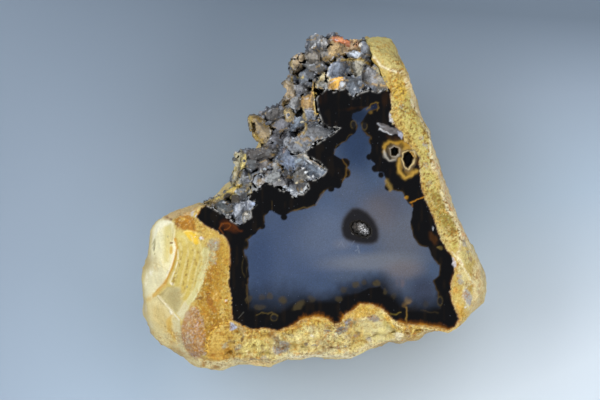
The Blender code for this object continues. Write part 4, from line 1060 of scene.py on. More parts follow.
# The tubes: a pale thin wall round a hole that is painted dark inside as shade
for (_, hole), wall in zip(TUBES, ((0.34, 0.31, 0.27), (0.66, 0.52, 0.26))):
    share = depth_inside(rough_column, rough_row, hole)
    coat(face_paint, (0.15, 0.11, 0.065), ease(share, -4.5, -2.0) * ease(wobble + 0.5, 0, 0.5) * 0.7)
    coat(face_paint, wall, bell(share + 0.7, 0.75) * (0.75 + wobble * 0.5))
    coat(face_paint, (0.05, 0.035, 0.018), ease(share, 0.2, 1.0))
    coat(face_paint, (0.008, 0.007, 0.006), ease(share + wobble * 2, 1.6, 2.8))
coat(face_paint, (0.060, 0.056, 0.054), ease(patch(column, row, PIT[:5]), -0.06, 0.10))
for outline, colour in CHIPS:
    share = ease(depth_inside(rough_column, rough_row, outline), -0.4, 0.5)
    coat(face_paint, colour, share * (0.8 + waver(places, 0.0005, 30) * 0.5))
beads = bell(near_line(column, row, CRYSTAL_EDGE)[0], 1.0) * ease(waver(places, 0.0005, 31), -0.1, 0.25)
coat(face_paint, (0.50, 0.50, 0.50), beads * 0.8)
keep_colour(slab, "tint", face_paint)
keep_value(slab, "grain", beyond_grain * beyond)
keep_value(slab, "beyond", beyond)

SPECK_SPACING = 0.0011
polish, tree, shader = new_finish("polished chalcedony")
shade, fleck = rock_flecks(tree, stored(tree, "tint", "Color"), stored(tree, "grain"))
# Tiny bright specks, one to a cell, on the polished face alone
where = add(tree, "ShaderNodeTexCoord").outputs["Object"]
cells = add(tree, "ShaderNodeTexVoronoi", {"Vector": where, "Scale": 1 / SPECK_SPACING})
bare = between(tree, stored(tree, "beyond"), 0.5, 0.0)
speck = times(tree, between(tree, cells.outputs["Distance"], 0.075, 0.03, 0.0, 0.25), bare)
shade = mixed(tree, speck, shade, (0.45, 0.5, 0.6, 1))
tree.links.new(shade, shader.inputs["Base Color"])
tree.links.new(between(tree, stored(tree, "beyond"), 0.0, 1.0, 0.07, 0.5), shader.inputs["Roughness"])
shader.inputs["IOR"].default_value = 1.54
relief(tree, shader, times(tree, fleck, stored(tree, "grain")), 0.00035)
slab.data.materials.append(polish)
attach(slab, "root")
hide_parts("agate")

# The crust of grey quartz on the upper left: blades and points grown together into one craggy sheet, stained
# ochre, with a bright sawn rim beside the black band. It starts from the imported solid, in fine squares raised
# to the shapes of many crystals; free points, modelled once and copied, stand on its outer side.
CRUST_MESH = 0.00038
CRYSTALS = 1500
FREE_POINTS = 150
RIM_CRYSTALS = 130
# Where the blades' general surface starts below the face, and how it falls away from the black band
CRYSTAL_TOP, CRYSTAL_FALL = 0.0005, 0.33
# The chips and the bright rim lie above this height
NEAR_FACE = 0.029
# No crystal stands nearer to the face's height than this
CRYSTAL_GAP = 0.0001
# The crust's outer edge as seen from above
CRUST_OUTLINE = [
    (372, 38), (364, 41), (360, 40), (351, 39), (347, 42), (341, 38), (335, 35), (329, 36), (326, 39),
    (323, 35), (320, 36), (317, 33), (312, 32), (309, 36), (308, 49), (304, 52), (296, 55), (292, 60),
    (292, 70), (290, 79), (285, 81), (286, 87), (289, 93), (286, 98), (284, 103), (278, 106), (268, 108),
    (265, 112), (258, 115), (251, 116), (250, 121), (252, 129), (255, 135), (259, 140), (264, 144),
    (260, 148), (252, 149), (241, 152), (236, 154), (235, 160), (236, 168), (235, 176), (231, 183),
    (228, 190), (222, 194), (216, 199), (208, 201), (202, 203), (197, 206),
]

# The blades: outline, height over the general surface in mm, the way the top faces, its slope, its colour
BLADES = [
    ([(343, 129), (338, 126), (325, 125), (320, 121), (309, 124), (305, 130), (302, 137), (293, 137),
     (284, 140), (284, 148), (292, 152), (301, 154), (309, 149), (318, 144), (331, 136)],
     0.4, 200, 3, (0.235, 0.25, 0.28)),
    ([(277, 158), (283, 147), (288, 150), (294, 158), (293, 170), (291, 173), (284, 165)],
     1.3, 250, 14, (0.21, 0.26, 0.36)),
    ([(294, 157), (301, 158), (308, 162), (304, 168), (299, 166), (296, 163)],
     0.9, 60, 16, (0.18, 0.22, 0.28)),
    ([(306, 163), (314, 161), (321, 165), (328, 172), (322, 178), (312, 179), (306, 174)],
     0.35, 120, 6, (0.135, 0.165, 0.21)),
    ([(303, 153), (310, 155), (318, 160), (326, 166), (324, 169), (314, 164), (306, 161)],
     0.4, 60, 8, (0.24, 0.26, 0.27)),
    ([(293, 175), (299, 167), (305, 170), (306, 178), (300, 182), (295, 181)],
     0.9, 330, 18, (0.15, 0.145, 0.135)),
    ([(298, 182), (306, 180), (311, 188), (306, 195), (299, 194), (296, 188)],
     0.5, 200, 10, (0.08, 0.08, 0.085)),
    ([(279, 163), (285, 166), (291, 174), (294, 183), (288, 184), (281, 176)],
     0.5, 300, 26, (0.06, 0.06, 0.07)),
    ([(271, 165), (276, 160), (280, 164), (281, 171), (275, 172)], 1.0, 150, 16, (0.27, 0.27, 0.26)),
    ([(263, 182), (268, 174), (274, 171), (278, 175), (280, 182), (272, 184)],
     0.45, 100, 8, (0.32, 0.335, 0.34)),
    ([(272, 185), (279, 179), (285, 183), (290, 190), (284, 192), (279, 191)],
     0.4, 40, 10, (0.2, 0.2, 0.21)),
    ([(286, 190), (292, 187), (298, 193), (295, 200), (291, 196)], 0.3, 250, 10, (0.26, 0.29, 0.34)),
    ([(250, 184), (252, 175), (259, 172), (264, 176), (261, 184), (256, 183)],
     0.9, 180, 14, (0.17, 0.185, 0.21)),
    ([(249, 193), (251, 184), (256, 182), (262, 185), (260, 190), (253, 195)],
     0.4, 280, 8, (0.26, 0.27, 0.27)),
    ([(247, 153), (256, 148), (266, 147), (274, 150), (272, 157), (262, 160), (252, 161)],
     1.6, 120, 20, (0.07, 0.06, 0.055)),
    ([(262, 149), (272, 144), (280, 146), (277, 155), (270, 159)], 1.5, 60, 18, (0.045, 0.042, 0.042)),
    ([(247, 160), (256, 158), (258, 167), (251, 171), (246, 168)], 1.2, 210, 20, (0.1, 0.11, 0.12)),
    ([(234, 156), (241, 151), (245, 155), (243, 166), (239, 178), (234, 184), (233, 170)],
     1.4, 170, 22, (0.3, 0.27, 0.16)),
    ([(242, 157), (245, 156), (245, 163), (242, 168), (241, 163)], 1.9, 0, 10, (0.8, 0.66, 0.24)),
    ([(240, 186), (242, 177), (251, 175), (254, 180), (250, 186)], 0.8, 230, 14, (0.22, 0.23, 0.23)),
    ([(203, 206), (205, 203), (219, 198), (229, 191), (240, 185), (243, 187), (232, 194), (221, 201),
     (208, 206)], 0.5, 100, 8, (0.5, 0.36, 0.1)),
    ([(216, 205), (222, 201), (233, 203), (235, 211), (228, 214), (220, 211)],
     0.5, 240, 12, (0.065, 0.075, 0.08)),
    ([(236, 204), (240, 200), (245, 207), (243, 214), (241, 222), (236, 220), (233, 213)],
     0.4, 200, 8, (0.36, 0.39, 0.45)),
    ([(246, 203), (251, 200), (257, 202), (258, 206), (252, 210), (247, 209)],
     0.35, 60, 6, (0.24, 0.27, 0.34)),
    ([(243, 214), (248, 211), (252, 216), (250, 222), (244, 222)], 0.35, 300, 8, (0.25, 0.24, 0.21)),
    ([(235, 190), (243, 187), (248, 191), (247, 200), (240, 200), (235, 197)],
     0.6, 160, 20, (0.1, 0.11, 0.12)),
    ([(230, 197), (234, 195), (236, 199), (233, 202)], 0.7, 0, 10, (0.62, 0.5, 0.18)),
    ([(309, 51), (310, 36), (315, 32), (321, 33), (326, 41), (324, 50), (316, 54)],
     2.2, 180, 20, (0.105, 0.11, 0.12)),
    ([(320, 40), (324, 38), (328, 43), (327, 50), (322, 50)], 2.5, 40, 20, (0.42, 0.42, 0.42)),
    ([(327, 42), (333, 37), (342, 38), (349, 44), (347, 53), (338, 57), (329, 54)],
     2.0, 120, 14, (0.48, 0.33, 0.15)),
    ([(333, 38), (340, 37), (349, 43), (350, 47), (343, 43), (336, 41)], 2.6, 60, 16, (0.62, 0.2, 0.08)),
    ([(343, 46), (352, 42), (361, 43), (360, 51), (350, 54), (344, 53)], 1.8, 150, 14, (0.36, 0.23, 0.11)),
    ([(358, 48), (361, 42), (367, 43), (374, 50), (374, 57), (365, 55)], 2.0, 200, 16, (0.22, 0.24, 0.28)),
    ([(348, 54), (354, 51), (359, 54), (357, 59), (350, 59)], 2.2, 100, 20, (0.5, 0.55, 0.62)),
    ([(305, 55), (311, 51), (318, 54), (319, 62), (311, 66), (305, 62)], 1.9, 140, 16, (0.24, 0.21, 0.17)),
    ([(293, 57), (300, 52), (304, 57), (302, 68), (295, 72), (291, 66)], 1.6, 170, 20, (0.3, 0.22, 0.12)),
    ([(300, 74), (308, 69), (316, 74), (316, 84), (308, 87), (301, 83)], 1.3, 210, 18, (0.15, 0.17, 0.2)),
    ([(304, 64), (313, 64), (321, 62), (327, 68), (320, 75), (311, 71)], 1.4, 120, 18, (0.11, 0.11, 0.11)),
    ([(330, 72), (333, 64), (340, 60), (348, 60), (349, 68), (343, 76), (335, 79), (331, 77)],
     1.2, 200, 14, (0.18, 0.21, 0.265)),
    ([(350, 62), (358, 62), (362, 66), (361, 73), (356, 76), (351, 71)], 1.1, 330, 12, (0.52, 0.49, 0.4)),
    ([(362, 72), (368, 67), (376, 71), (379, 80), (370, 85), (362, 81)], 0.9, 90, 10, (0.26, 0.26, 0.27)),
    ([(376, 72), (383, 76), (388, 84), (388, 91), (378, 93), (378, 82)], 0.6, 60, 8, (0.3, 0.28, 0.24)),
    ([(343, 77), (347, 73), (352, 78), (360, 80), (359, 90), (353, 99), (347, 90), (344, 83)],
     0.6, 270, 8, (0.13, 0.15, 0.18)),
    ([(326, 84), (335, 79), (343, 78), (342, 86), (334, 92), (329, 89)], 0.7, 320, 12, (0.75, 0.42, 0.08)),
    ([(341, 80), (345, 82), (346, 89), (341, 90), (340, 86)], 0.6, 90, 12, (0.5, 0.52, 0.56)),
    ([(314, 84), (321, 81), (327, 85), (324, 92), (317, 97)], 0.7, 110, 14, (0.28, 0.28, 0.25)),
    ([(320, 78), (325, 74), (329, 78), (327, 83), (322, 82)], 1.4, 60, 14, (0.62, 0.55, 0.36)),
    ([(313, 83), (317, 85), (318, 97), (319, 112), (316, 113), (314, 97)], 0.8, 180, 10, (0.55, 0.38, 0.1)),
    ([(301, 96), (307, 98), (311, 94), (315, 92), (317, 110), (310, 110), (303, 107)],
     0.8, 180, 16, (0.34, 0.21, 0.07)),
    ([(304, 109), (312, 110), (318, 112), (321, 121), (312, 122), (306, 121)],
     0.5, 240, 10, (0.2, 0.22, 0.26)),
    ([(291, 98), (300, 95), (302, 106), (296, 111), (290, 107)], 1.2, 170, 18, (0.2, 0.2, 0.2)),
    ([(285, 111), (290, 108), (295, 113), (293, 121), (287, 122)], 1.5, 200, 20, (0.45, 0.33, 0.14)),
    ([(292, 118), (303, 115), (306, 120), (299, 126), (292, 130)], 1.1, 140, 12, (0.18, 0.22, 0.28)),
    ([(271, 124), (280, 118), (290, 121), (290, 132), (283, 138), (275, 135)],
     1.4, 130, 16, (0.13, 0.13, 0.15)),
    ([(264, 113), (272, 108), (283, 107), (288, 112), (281, 118), (270, 121)],
     1.9, 100, 20, (0.075, 0.07, 0.068)),
    ([(251, 117), (257, 116), (263, 120), (271, 128), (271, 135), (265, 142), (257, 138), (252, 128)],
     1.6, 180, 18, (0.28, 0.2, 0.09)),
    ([(320, 52), (328, 50), (335, 56), (331, 63), (323, 62)], 1.4, 60, 14, (0.16, 0.15, 0.14)),
    ([(286, 82), (291, 79), (296, 86), (294, 96), (287, 100), (284, 92)], 1.5, 180, 24, (0.34, 0.25, 0.14)),
    ([(296, 84), (304, 86), (309, 92), (303, 97), (296, 94)], 1.0, 150, 18, (0.12, 0.12, 0.13)),
    ([(257, 163), (266, 159), (271, 164), (268, 173), (260, 172)], 1.1, 60, 14, (0.12, 0.11, 0.11)),
    ([(264, 142), (273, 136), (283, 138), (284, 146), (274, 150), (266, 147)],
     1.5, 200, 16, (0.14, 0.14, 0.16)),
    ([(292, 152), (301, 154), (305, 152), (306, 160), (298, 158)], 0.7, 60, 10, (0.24, 0.25, 0.26)),
]
# Ochre and bright lines along the crystals' edges: points, colour, half width in grid steps, strength
CRUST_LINES = [
    ([(329, 64), (333, 60), (342, 59), (352, 60), (361, 59), (368, 63), (375, 69)],
     (0.62, 0.42, 0.09), 1.1, 0.95),
    ([(319, 80), (323, 76), (326, 70), (329, 64)], (0.66, 0.55, 0.3), 1.1, 0.9),
    ([(313, 84), (314, 92), (317, 100), (318, 112), (319, 121)], (0.6, 0.38, 0.07), 1.0, 0.95),
    ([(302, 96), (307, 100), (310, 101), (312, 94), (314, 85)], (0.7, 0.42, 0.14), 0.9, 0.95),
    ([(303, 108), (304, 115), (306, 122), (306, 129), (304, 134)], (0.56, 0.4, 0.12), 1.2, 0.9),
    ([(250, 118), (251, 129), (255, 136), (260, 141), (264, 143)], (0.66, 0.46, 0.1), 2.0, 0.95),
    ([(265, 143), (268, 139), (270, 133), (270, 126)], (0.34, 0.25, 0.1), 1.0, 0.8),
    ([(251, 118), (257, 118), (262, 121), (268, 126), (271, 128)], (0.5, 0.33, 0.08), 1.4, 0.8),
    ([(291, 60), (292, 68), (291, 80)], (0.44, 0.32, 0.1), 1.5, 0.8),
    ([(296, 78), (299, 77), (303, 78)], (0.55, 0.44, 0.14), 1.0, 0.9),
    ([(285, 82), (286, 90), (284, 98), (284, 106)], (0.42, 0.28, 0.1), 1.6, 0.85),
    ([(328, 89), (331, 91), (334, 92), (338, 89)], (0.8, 0.66, 0.36), 0.8, 0.9),
    ([(317, 97), (321, 94), (327, 89)], (0.8, 0.78, 0.7), 0.9, 0.95),
    ([(332, 38), (337, 37), (342, 40), (349, 44)], (0.78, 0.34, 0.14), 1.3, 0.95),
    ([(353, 41), (357, 42), (356, 46)], (0.5, 0.2, 0.08), 1.2, 0.8),
    ([(376, 71), (382, 74), (387, 80)], (0.58, 0.48, 0.2), 1.2, 0.9),
    ([(371, 84), (378, 85), (386, 86), (389, 89)], (0.62, 0.4, 0.16), 1.0, 0.9),
    ([(283, 140), (288, 139), (292, 136)], (0.3, 0.31, 0.34), 0.8, 0.7),
    ([(296, 142), (303, 147), (311, 144), (317, 142)], (0.5, 0.36, 0.12), 0.9, 0.8),
    ([(305, 150), (310, 157), (318, 161), (325, 167)], (0.85, 0.86, 0.84), 0.7, 0.95),
    ([(307, 160), (314, 165), (322, 170), (327, 171)], (0.8, 0.84, 0.9), 0.7, 0.95),
    ([(308, 158), (315, 162), (321, 167)], (0.45, 0.28, 0.1), 0.6, 0.8),
    ([(305, 150), (305, 156), (309, 158)], (0.72, 0.6, 0.4), 0.7, 0.9),
    ([(248, 172), (250, 179), (251, 186)], (0.5, 0.4, 0.14), 0.7, 0.8),
    ([(246, 191), (249, 188), (253, 192), (248, 194)], (0.6, 0.48, 0.24), 0.9, 0.9),
    ([(254, 184), (260, 183), (261, 188)], (0.66, 0.68, 0.7), 0.7, 0.9),
    ([(216, 199), (224, 195), (232, 189), (241, 186)], (0.62, 0.46, 0.1), 1.4, 0.95),
    ([(232, 186), (235, 178), (236, 168), (235, 158)], (0.44, 0.36, 0.16), 1.6, 0.8),
    ([(228, 197), (233, 198), (236, 194)], (0.66, 0.56, 0.22), 1.1, 0.9),
    ([(205, 204), (213, 206), (220, 208), (227, 214), (233, 219)], (0.68, 0.64, 0.58), 0.8, 0.85),
]
# Painted glints on small faces that catch the light, and painted shade in small hollows: column, row, half
# sizes, turn, colour
PAINTED_GLINTS_AND_HOLLOW_SHADE = [
    (327.5, 74, 1.6, 3.2, 20, (0.9, 0.9, 0.92)), (330, 66, 2, 4, 30, (0.5, 0.55, 0.66)),
    (354.5, 55, 3.6, 1.8, 25, (0.62, 0.68, 0.8)), (357.5, 57, 1.2, 1, 0, (0.95, 0.95, 0.95)),
    (360.5, 45, 1.6, 3.4, 25, (0.82, 0.8, 0.74)), (315, 45, 1.2, 2.2, 10, (0.7, 0.72, 0.74)),
    (312.5, 47, 1.0, 1.4, 0, (0.85, 0.87, 0.9)), (318.5, 43, 1.0, 2.0, 0, (0.6, 0.62, 0.66)),
    (342, 85, 2.4, 3.4, 0, (0.62, 0.66, 0.72)), (364.5, 89.5, 1.2, 1.0, 0, (0.9, 0.9, 0.9)),
    (355, 89, 1.2, 1.2, 0, (0.75, 0.78, 0.84)), (321, 93, 1.6, 1.0, -30, (0.92, 0.92, 0.92)),
    (302, 122, 2.6, 1.4, -10, (0.88, 0.8, 0.58)), (312, 124, 2.0, 1.0, 0, (0.6, 0.74, 0.86)),
    (318, 124.5, 2.6, 0.9, -10, (0.74, 0.84, 0.9)), (319.5, 120.5, 1.0, 1.6, 0, (0.62, 0.72, 0.8)),
    (334, 128, 4.0, 1.6, -8, (0.56, 0.6, 0.68)), (270.5, 123, 0.8, 2.4, 0, (0.86, 0.88, 0.86)),
    (298, 161, 4.6, 2.4, -30, (0.27, 0.34, 0.42)), (303, 168, 1.4, 1.0, 0, (0.9, 0.9, 0.92)),
    (306, 172.5, 2.6, 1.4, -35, (0.9, 0.94, 0.98)), (309, 177, 2.6, 1.0, 10, (0.88, 0.88, 0.84)),
    (313, 176, 0.9, 1.8, 0, (0.92, 0.94, 0.98)), (325, 169, 1.4, 1.2, 0, (0.9, 0.94, 0.98)),
    (285, 187, 3.4, 1.6, -25, (0.56, 0.62, 0.72)), (291, 190.5, 2.0, 1.2, 0, (0.8, 0.84, 0.88)),
    (305.5, 188, 1.6, 3.2, 20, (0.62, 0.64, 0.66)), (302, 192.5, 3.0, 1.0, 10, (0.78, 0.82, 0.84)),
    (295.5, 198, 1.8, 2.6, 10, (0.52, 0.54, 0.56)), (279.5, 180.5, 1.2, 1.0, 0, (0.88, 0.84, 0.7)),
    (272, 181.5, 5.0, 1.6, 5, (0.36, 0.38, 0.39)), (253.5, 203.5, 2.8, 2.4, 0, (0.5, 0.6, 0.82)),
    (256, 200.5, 1.2, 1.2, 0, (0.95, 0.97, 0.98)), (250, 208.5, 3.0, 1.6, 0, (0.42, 0.5, 0.64)),
    (246, 214, 2.4, 1.8, 0, (0.64, 0.6, 0.52)), (239, 208, 1.2, 4.0, 15, (0.48, 0.49, 0.5)),
    (284, 150.5, 1.6, 3.2, 0, (0.42, 0.32, 0.28)), (265, 169, 2.0, 1.2, 30, (0.5, 0.58, 0.66)),
    (297, 183, 1.4, 1.4, 0, (0.6, 0.52, 0.34)), (261, 171, 1.6, 2.0, 0, (0.4, 0.38, 0.34)),
    (300, 62, 3.0, 2.2, 20, (0.52, 0.4, 0.26)), (298, 130, 6.4, 4.4, -25, (0.022, 0.018, 0.015)),
    (258, 158, 6.5, 4.5, 10, (0.028, 0.026, 0.026)), (277, 150, 4.5, 3.0, 20, (0.032, 0.03, 0.03)),
    (257, 165, 3.6, 2.4, 0, (0.035, 0.033, 0.033)), (227, 196, 6.0, 4.0, -30, (0.02, 0.016, 0.013)),
    (304, 86, 3.5, 4.0, 20, (0.035, 0.035, 0.038)), (308, 93, 4.5, 2.0, 15, (0.045, 0.038, 0.03)),
    (325, 49, 2.0, 5.0, -20, (0.035, 0.033, 0.033)), (363, 55, 4.0, 1.6, -25, (0.06, 0.055, 0.05)),
    (353, 58, 5.0, 1.2, 10, (0.05, 0.045, 0.04)), (321, 82, 2.2, 1.8, 0, (0.05, 0.05, 0.05)),
    (345, 66, 2.4, 2.0, 0, (0.045, 0.045, 0.05)), (369, 77, 1.6, 1.2, 0, (0.02, 0.02, 0.02)),
    (343, 74.5, 3.0, 1.6, -20, (0.06, 0.06, 0.065)), (282, 134, 3.0, 2.4, 0, (0.045, 0.043, 0.045)),
    (291, 174, 2.4, 4.0, -20, (0.055, 0.055, 0.06)), (268, 152, 3.0, 5.0, 30, (0.09, 0.09, 0.095)),
    (240, 199, 3.0, 2.0, 0, (0.09, 0.09, 0.095)),
]
# The crystals' colours by zone: column, row, half width, half height, turn in degrees, colour. The near-black
# zones at (298, 131), (229, 196) and (264, 155) are painted shade in hollows.
GREY = (0.115, 0.125, 0.15)
ZONES = [
    (345, 46, 20, 10, 0, (0.42, 0.29, 0.14)), (258, 132, 10, 14, 0, (0.4, 0.3, 0.15)),
    (311, 102, 8, 12, 0, (0.36, 0.24, 0.09)), (238, 170, 5, 18, 0, (0.4, 0.33, 0.14)),
    (220, 201, 20, 5, -30, (0.42, 0.31, 0.11)), (286, 94, 6, 16, 0, (0.34, 0.26, 0.14)),
    (383, 72, 8, 10, -40, (0.44, 0.38, 0.2)), (298, 131, 7, 7, 0, (0.02, 0.018, 0.015)),
    (229, 196, 6, 7, 0, (0.02, 0.018, 0.015)), (264, 155, 12, 8, 0, (0.05, 0.045, 0.04)),
    (310, 62, 14, 12, 0, (0.13, 0.12, 0.11)), (356, 62, 10, 5, 0, (0.5, 0.4, 0.16)),
]


def zone_colours(places):
    column, row = grid_places(places)
    paint = np.tile(GREY, (len(places), 1)).astype(float)
    for *oval, colour in ZONES:
        coat(paint, colour, ease(patch(column, row, oval), -0.05, 0.35))
    return paint


crust = from_solid("crystal_crust", "quartz_crust")
in_squares(crust, CRUST_MESH)
facing_up = np.array([face.normal.z for face in crust.data.polygons])
cut_finer(crust, (facing_up > 0.1) & (face_middles(crust)[:, 2] > 0.022), 1)

# Crystals sit at random spots of the surface. Each has an axis, six end faces and a size.
picks = np.random.RandomState(5)
places = points_of(crust)
ways = normals_of(crust)
roots = picks.choice(len(places), CRYSTALS, replace=False)
spots = places[roots]
axes = ways[roots] + picks.normal(0, 0.33, (CRYSTALS, 3)) + (-0.08, 0.08, 0.12)
axes /= np.linalg.norm(axes, axis=1)[:, None]
across = np.cross(axes, picks.normal(0, 1, (CRYSTALS, 3)))
across /= np.linalg.norm(across, axis=1)[:, None]
aside = np.cross(axes, across)
reach = 0.0003 + 0.0017 * picks.uniform(0, 1, CRYSTALS) ** 2.6
raised = picks.uniform(-0.0002, 0.0004, CRYSTALS)
turns = np.arange(6) * math.pi / 3 + picks.uniform(-0.25, 0.25, (CRYSTALS, 6))
slopes = picks.uniform(0.35, 1.7, (CRYSTALS, 6))
finder = KDTree(CRYSTALS)
for number, spot in enumerate(spots):
    finder.insert(spot, number)
finder.balance()
NEIGHBOURS = 14
near = np.array([[found[1] for found in finder.find_n(spot, NEIGHBOURS)] for spot in places])
rise = np.full(len(places), -1.0)
second = np.full(len(places), -1.0)
crystal = np.zeros(len(places), int)
facet = np.zeros(len(places), int)
for turn in range(NEIGHBOURS):
    which = near[:, turn]
    gap = places - spots[which]
    u = np.sum(gap * across[which], axis=1)
    v = np.sum(gap * aside[which], axis=1)
    w = np.sum(gap * axes[which], axis=1)
    falls = slopes[which] * (u[:, None] * np.cos(turns[which]) + v[:, None] * np.sin(turns[which]))
    steepest = np.argmax(falls, axis=1)
    top = raised[which] + reach[which] * 0.75 - falls[np.arange(len(falls)), steepest] - w
    better = top > rise
    second = np.where(better, rise, np.maximum(second, top))
    crystal = np.where(better, which, crystal)
    facet = np.where(better, steepest, facet)
    rise = np.where(better, top, rise)
seam = rise - second
rise = np.clip(rise, -0.00035, 0.0012) - 0.00035
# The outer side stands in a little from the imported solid
rise -= ease(-ways[:, 2], -0.6, 0.1) * 0.0009 * ease(places[:, 2], 0.018, 0.026)
column, row = grid_places(places)
from_band = near_line(column, row, CRYSTAL_EDGE)[0]
rise *= ease(places[:, 2], 0.0195, 0.0225)
# What stands out past the outline is drawn in to it before the crystals are raised
wall = ease(-ways[:, 2], -0.35, 0.0)
bumpy = drawn_in(places, CRUST_OUTLINE, CRYSTAL_EDGE[::-1], np.full(len(places), True))
hollows = 0.0004 + np.abs(waver(places, 0.0026, 48)) * 0.0018
hollowed = wall * ease(FACE_HEIGHT - 0.0035 - places[:, 2], 0, 0.005) * hollows
bumpy += ways * ((rise - 0.0002 * wall) * (1 - 0.2 * wall) - hollowed)[:, None]
column, row = grid_places(bumpy)
growth = (bumpy @ (0.8, 0.5, 0.3)) / 0.001
paint = zone_colours(places)
coat(paint, GREY, wall * ease(FACE_HEIGHT - places[:, 2], 0.003, 0.006) * 0.85)
coat(paint, (0.30, 0.23, 0.11), wall * ease(waver(places, 0.0028, 49), 0.12, 0.3) * 0.7)
# Each crystal gets a random tone, and each of its end faces a painted light or shade of its own
tone_and_facet_shade = picks.uniform(0.35, 1.7, CRYSTALS)[crystal] * picks.uniform(0.35, 1.9, (CRYSTALS, 6))[crystal, facet]
paint *= tone_and_facet_shade[:, None]
cold = picks.uniform(0, 1, CRYSTALS)[crystal]
coat(paint, (0.20, 0.24, 0.32), ease(cold, 0.72, 0.8) * 0.55 * (from_band < 40))

# The blades lie over them as flat or roof-shaped tops
over = (ways[:, 2] > 0.35) | ((ways[:, 2] > 0.0) & (places[:, 2] > FACE_HEIGHT - 0.003))
best = np.full(len(places), -1.0)
inside_best = np.full(len(places), -9.0)
for outline, lift, facing, slope, colour in BLADES:
    mid_column, mid_row = np.mean(outline, axis=0)
    close = over & (np.abs(column - mid_column) < 40) & (np.abs(row - mid_row) < 32)
    spot = np.nonzero(close)[0]
    inside = depth_inside(column[spot], row[spot], outline)
    from_edge = near_line(np.array([mid_column]), np.array([mid_row]), CRYSTAL_EDGE)[0][0]
    top = FACE_HEIGHT - CRYSTAL_TOP - CRYSTAL_FALL * STEP * from_edge + lift / 1000
    x = (column[spot] - mid_column) * STEP
    y = (mid_row - row[spot]) * STEP
    way = math.radians(facing)
    other_way = way + picks.uniform(1.6, 4.4)
    other_slope = picks.uniform(8, 30)
    first = -math.tan(math.radians(slope)) * (x * math.cos(way) + y * math.sin(way))
    other = x * math.cos(other_way) + y * math.sin(other_way)
    other = 0.00008 - math.tan(math.radians(other_slope)) * other
    plane = top + np.minimum(first, other) - np.clip(0.2 - inside, 0, 3) * STEP * 1.8
    wins = (inside > -1.6) & (plane > best[spot])
    mine = spot[wins]
    best[mine] = plane[wins]
    inside_best[mine] = inside[wins]
    growth[mine] = (x * math.cos(way) + y * math.sin(way))[wins] / 0.001
    # A blade's main top face is painted a little lighter and its other roof face darker, as painted light and
    # shade
    shaded = np.where(first < other, 1.08, picks.uniform(0.40, 0.75))
    mottle = 1 + waver(places[mine], 0.0009, 41) * 0.45
    mottle *= np.clip(tone_and_facet_shade[mine], 0.45, 1.9) ** 0.22
    paint[mine] = np.array(colour) * (shaded[wins] * mottle)[:, None]
on_blade = best > 0
height = np.where(on_blade, np.maximum(best, bumpy[:, 2] - 0.0006 * (inside_best > 0.5)), bumpy[:, 2])
small_facets = np.clip(rise, -0.0006, 0.0006) * 0.11
height = np.where(on_blade & (inside_best > 0.2), best + small_facets, height)
bumpy[:, 2] = np.minimum(height, FACE_HEIGHT - CRYSTAL_GAP)
# Painted shade in the deep gaps and creases between the crystals, dark and ochre stains, and ochre stains and
# painted highlights along the blades' edges
dirt = waver(places, 0.0009, 43)
grit = waver(places, 0.00045, 44)
coat(paint, (0.025, 0.023, 0.024), ease(-rise, 0.0002, 0.0008) * ~on_blade * 0.7)
coat(paint, (0.03, 0.028, 0.028), ease(0.00010 - seam, 0, 0.00010) * ~on_blade * 0.4)
coat(paint, (0.05, 0.047, 0.046), ease(dirt + grit * 0.6, 0.2, 0.45) * 0.65)
coat(paint, (0.40, 0.25, 0.065), ease(waver(places, 0.0020, 45) + grit * 0.7, 0.42, 0.56) * 0.5)
edge = bell(inside_best - 0.9, 0.55) * on_blade
coat(paint, (0.46, 0.30, 0.09), edge * ease(dirt, 0.24, 0.36) * 0.55)
# painted highlight along the blades' edges
coat(paint, (0.62, 0.66, 0.74), edge * ease(-dirt, 0.14, 0.28) * 0.8)
for line, colour, half, strength in CRUST_LINES:
    drawn = near_line(column + dirt * 1.5, row + grit * 1.5, line)[0]
    coat(paint, colour, bell(drawn, half) * strength * (ways[:, 2] > 0.1) * ease(grit, -0.5, 0.0))
# painted glints, and painted shade in small hollows
for *oval, colour in PAINTED_GLINTS_AND_HOLLOW_SHADE:
    coat(paint, colour, ease(patch(column + grit, row + dirt, oval), 0.0, 0.4) * 0.95)
chips = ease(2.2 + grit * 4 - from_band, 0, 1.5) * ease(grit + dirt * 0.6, 0.0, 0.25)
coat(paint, (0.50, 0.52, 0.56), chips * (places[:, 2] > NEAR_FACE) * 0.8)
rim = bell(from_band - 0.7, 0.6) * ease(dirt, -0.3, -0.05) * (places[:, 2] > NEAR_FACE)
coat(paint, (0.78, 0.80, 0.84), rim * ease(column, 205, 235))
put_points(crust, bumpy)
keep_value(crust, "growth", growth)
keep_colour(crust, "tint", paint)
only(crust)
bpy.ops.object.shade_smooth_by_angle(angle=math.radians(15))


def six_sided(name, waist, tip, lean):
    """A quartz point: a six-sided prism whose end is drawn in to an uneven tip."""
    bpy.ops.object.select_all(action="DESELECT")
    bpy.ops.mesh.primitive_cylinder_add(vertices=6, radius=1, depth=waist, location=(0, 0, waist / 2 - 0.6))
    made = bpy.context.object
    made.name = name
    bpy.ops.object.transform_apply(location=True, rotation=False, scale=False)
    bpy.ops.object.mode_set(mode="EDIT")
    bpy.ops.mesh.select_mode(type="FACE")
    bpy.ops.mesh.select_all(action="DESELECT")
    bpy.ops.object.mode_set(mode="OBJECT")
    for face in made.data.polygons:
        face.select = face.normal.z > 0.9
    bpy.ops.object.mode_set(mode="EDIT")
    bpy.ops.mesh.extrude_region_move(TRANSFORM_OT_translate={"value": (lean, 0.1, tip)})
    bpy.ops.transform.resize(value=(0.16, 0.30, 1), center_override=(lean, 0.1, waist - 0.6 + tip))
    bpy.ops.object.mode_set(mode="OBJECT")
    return made


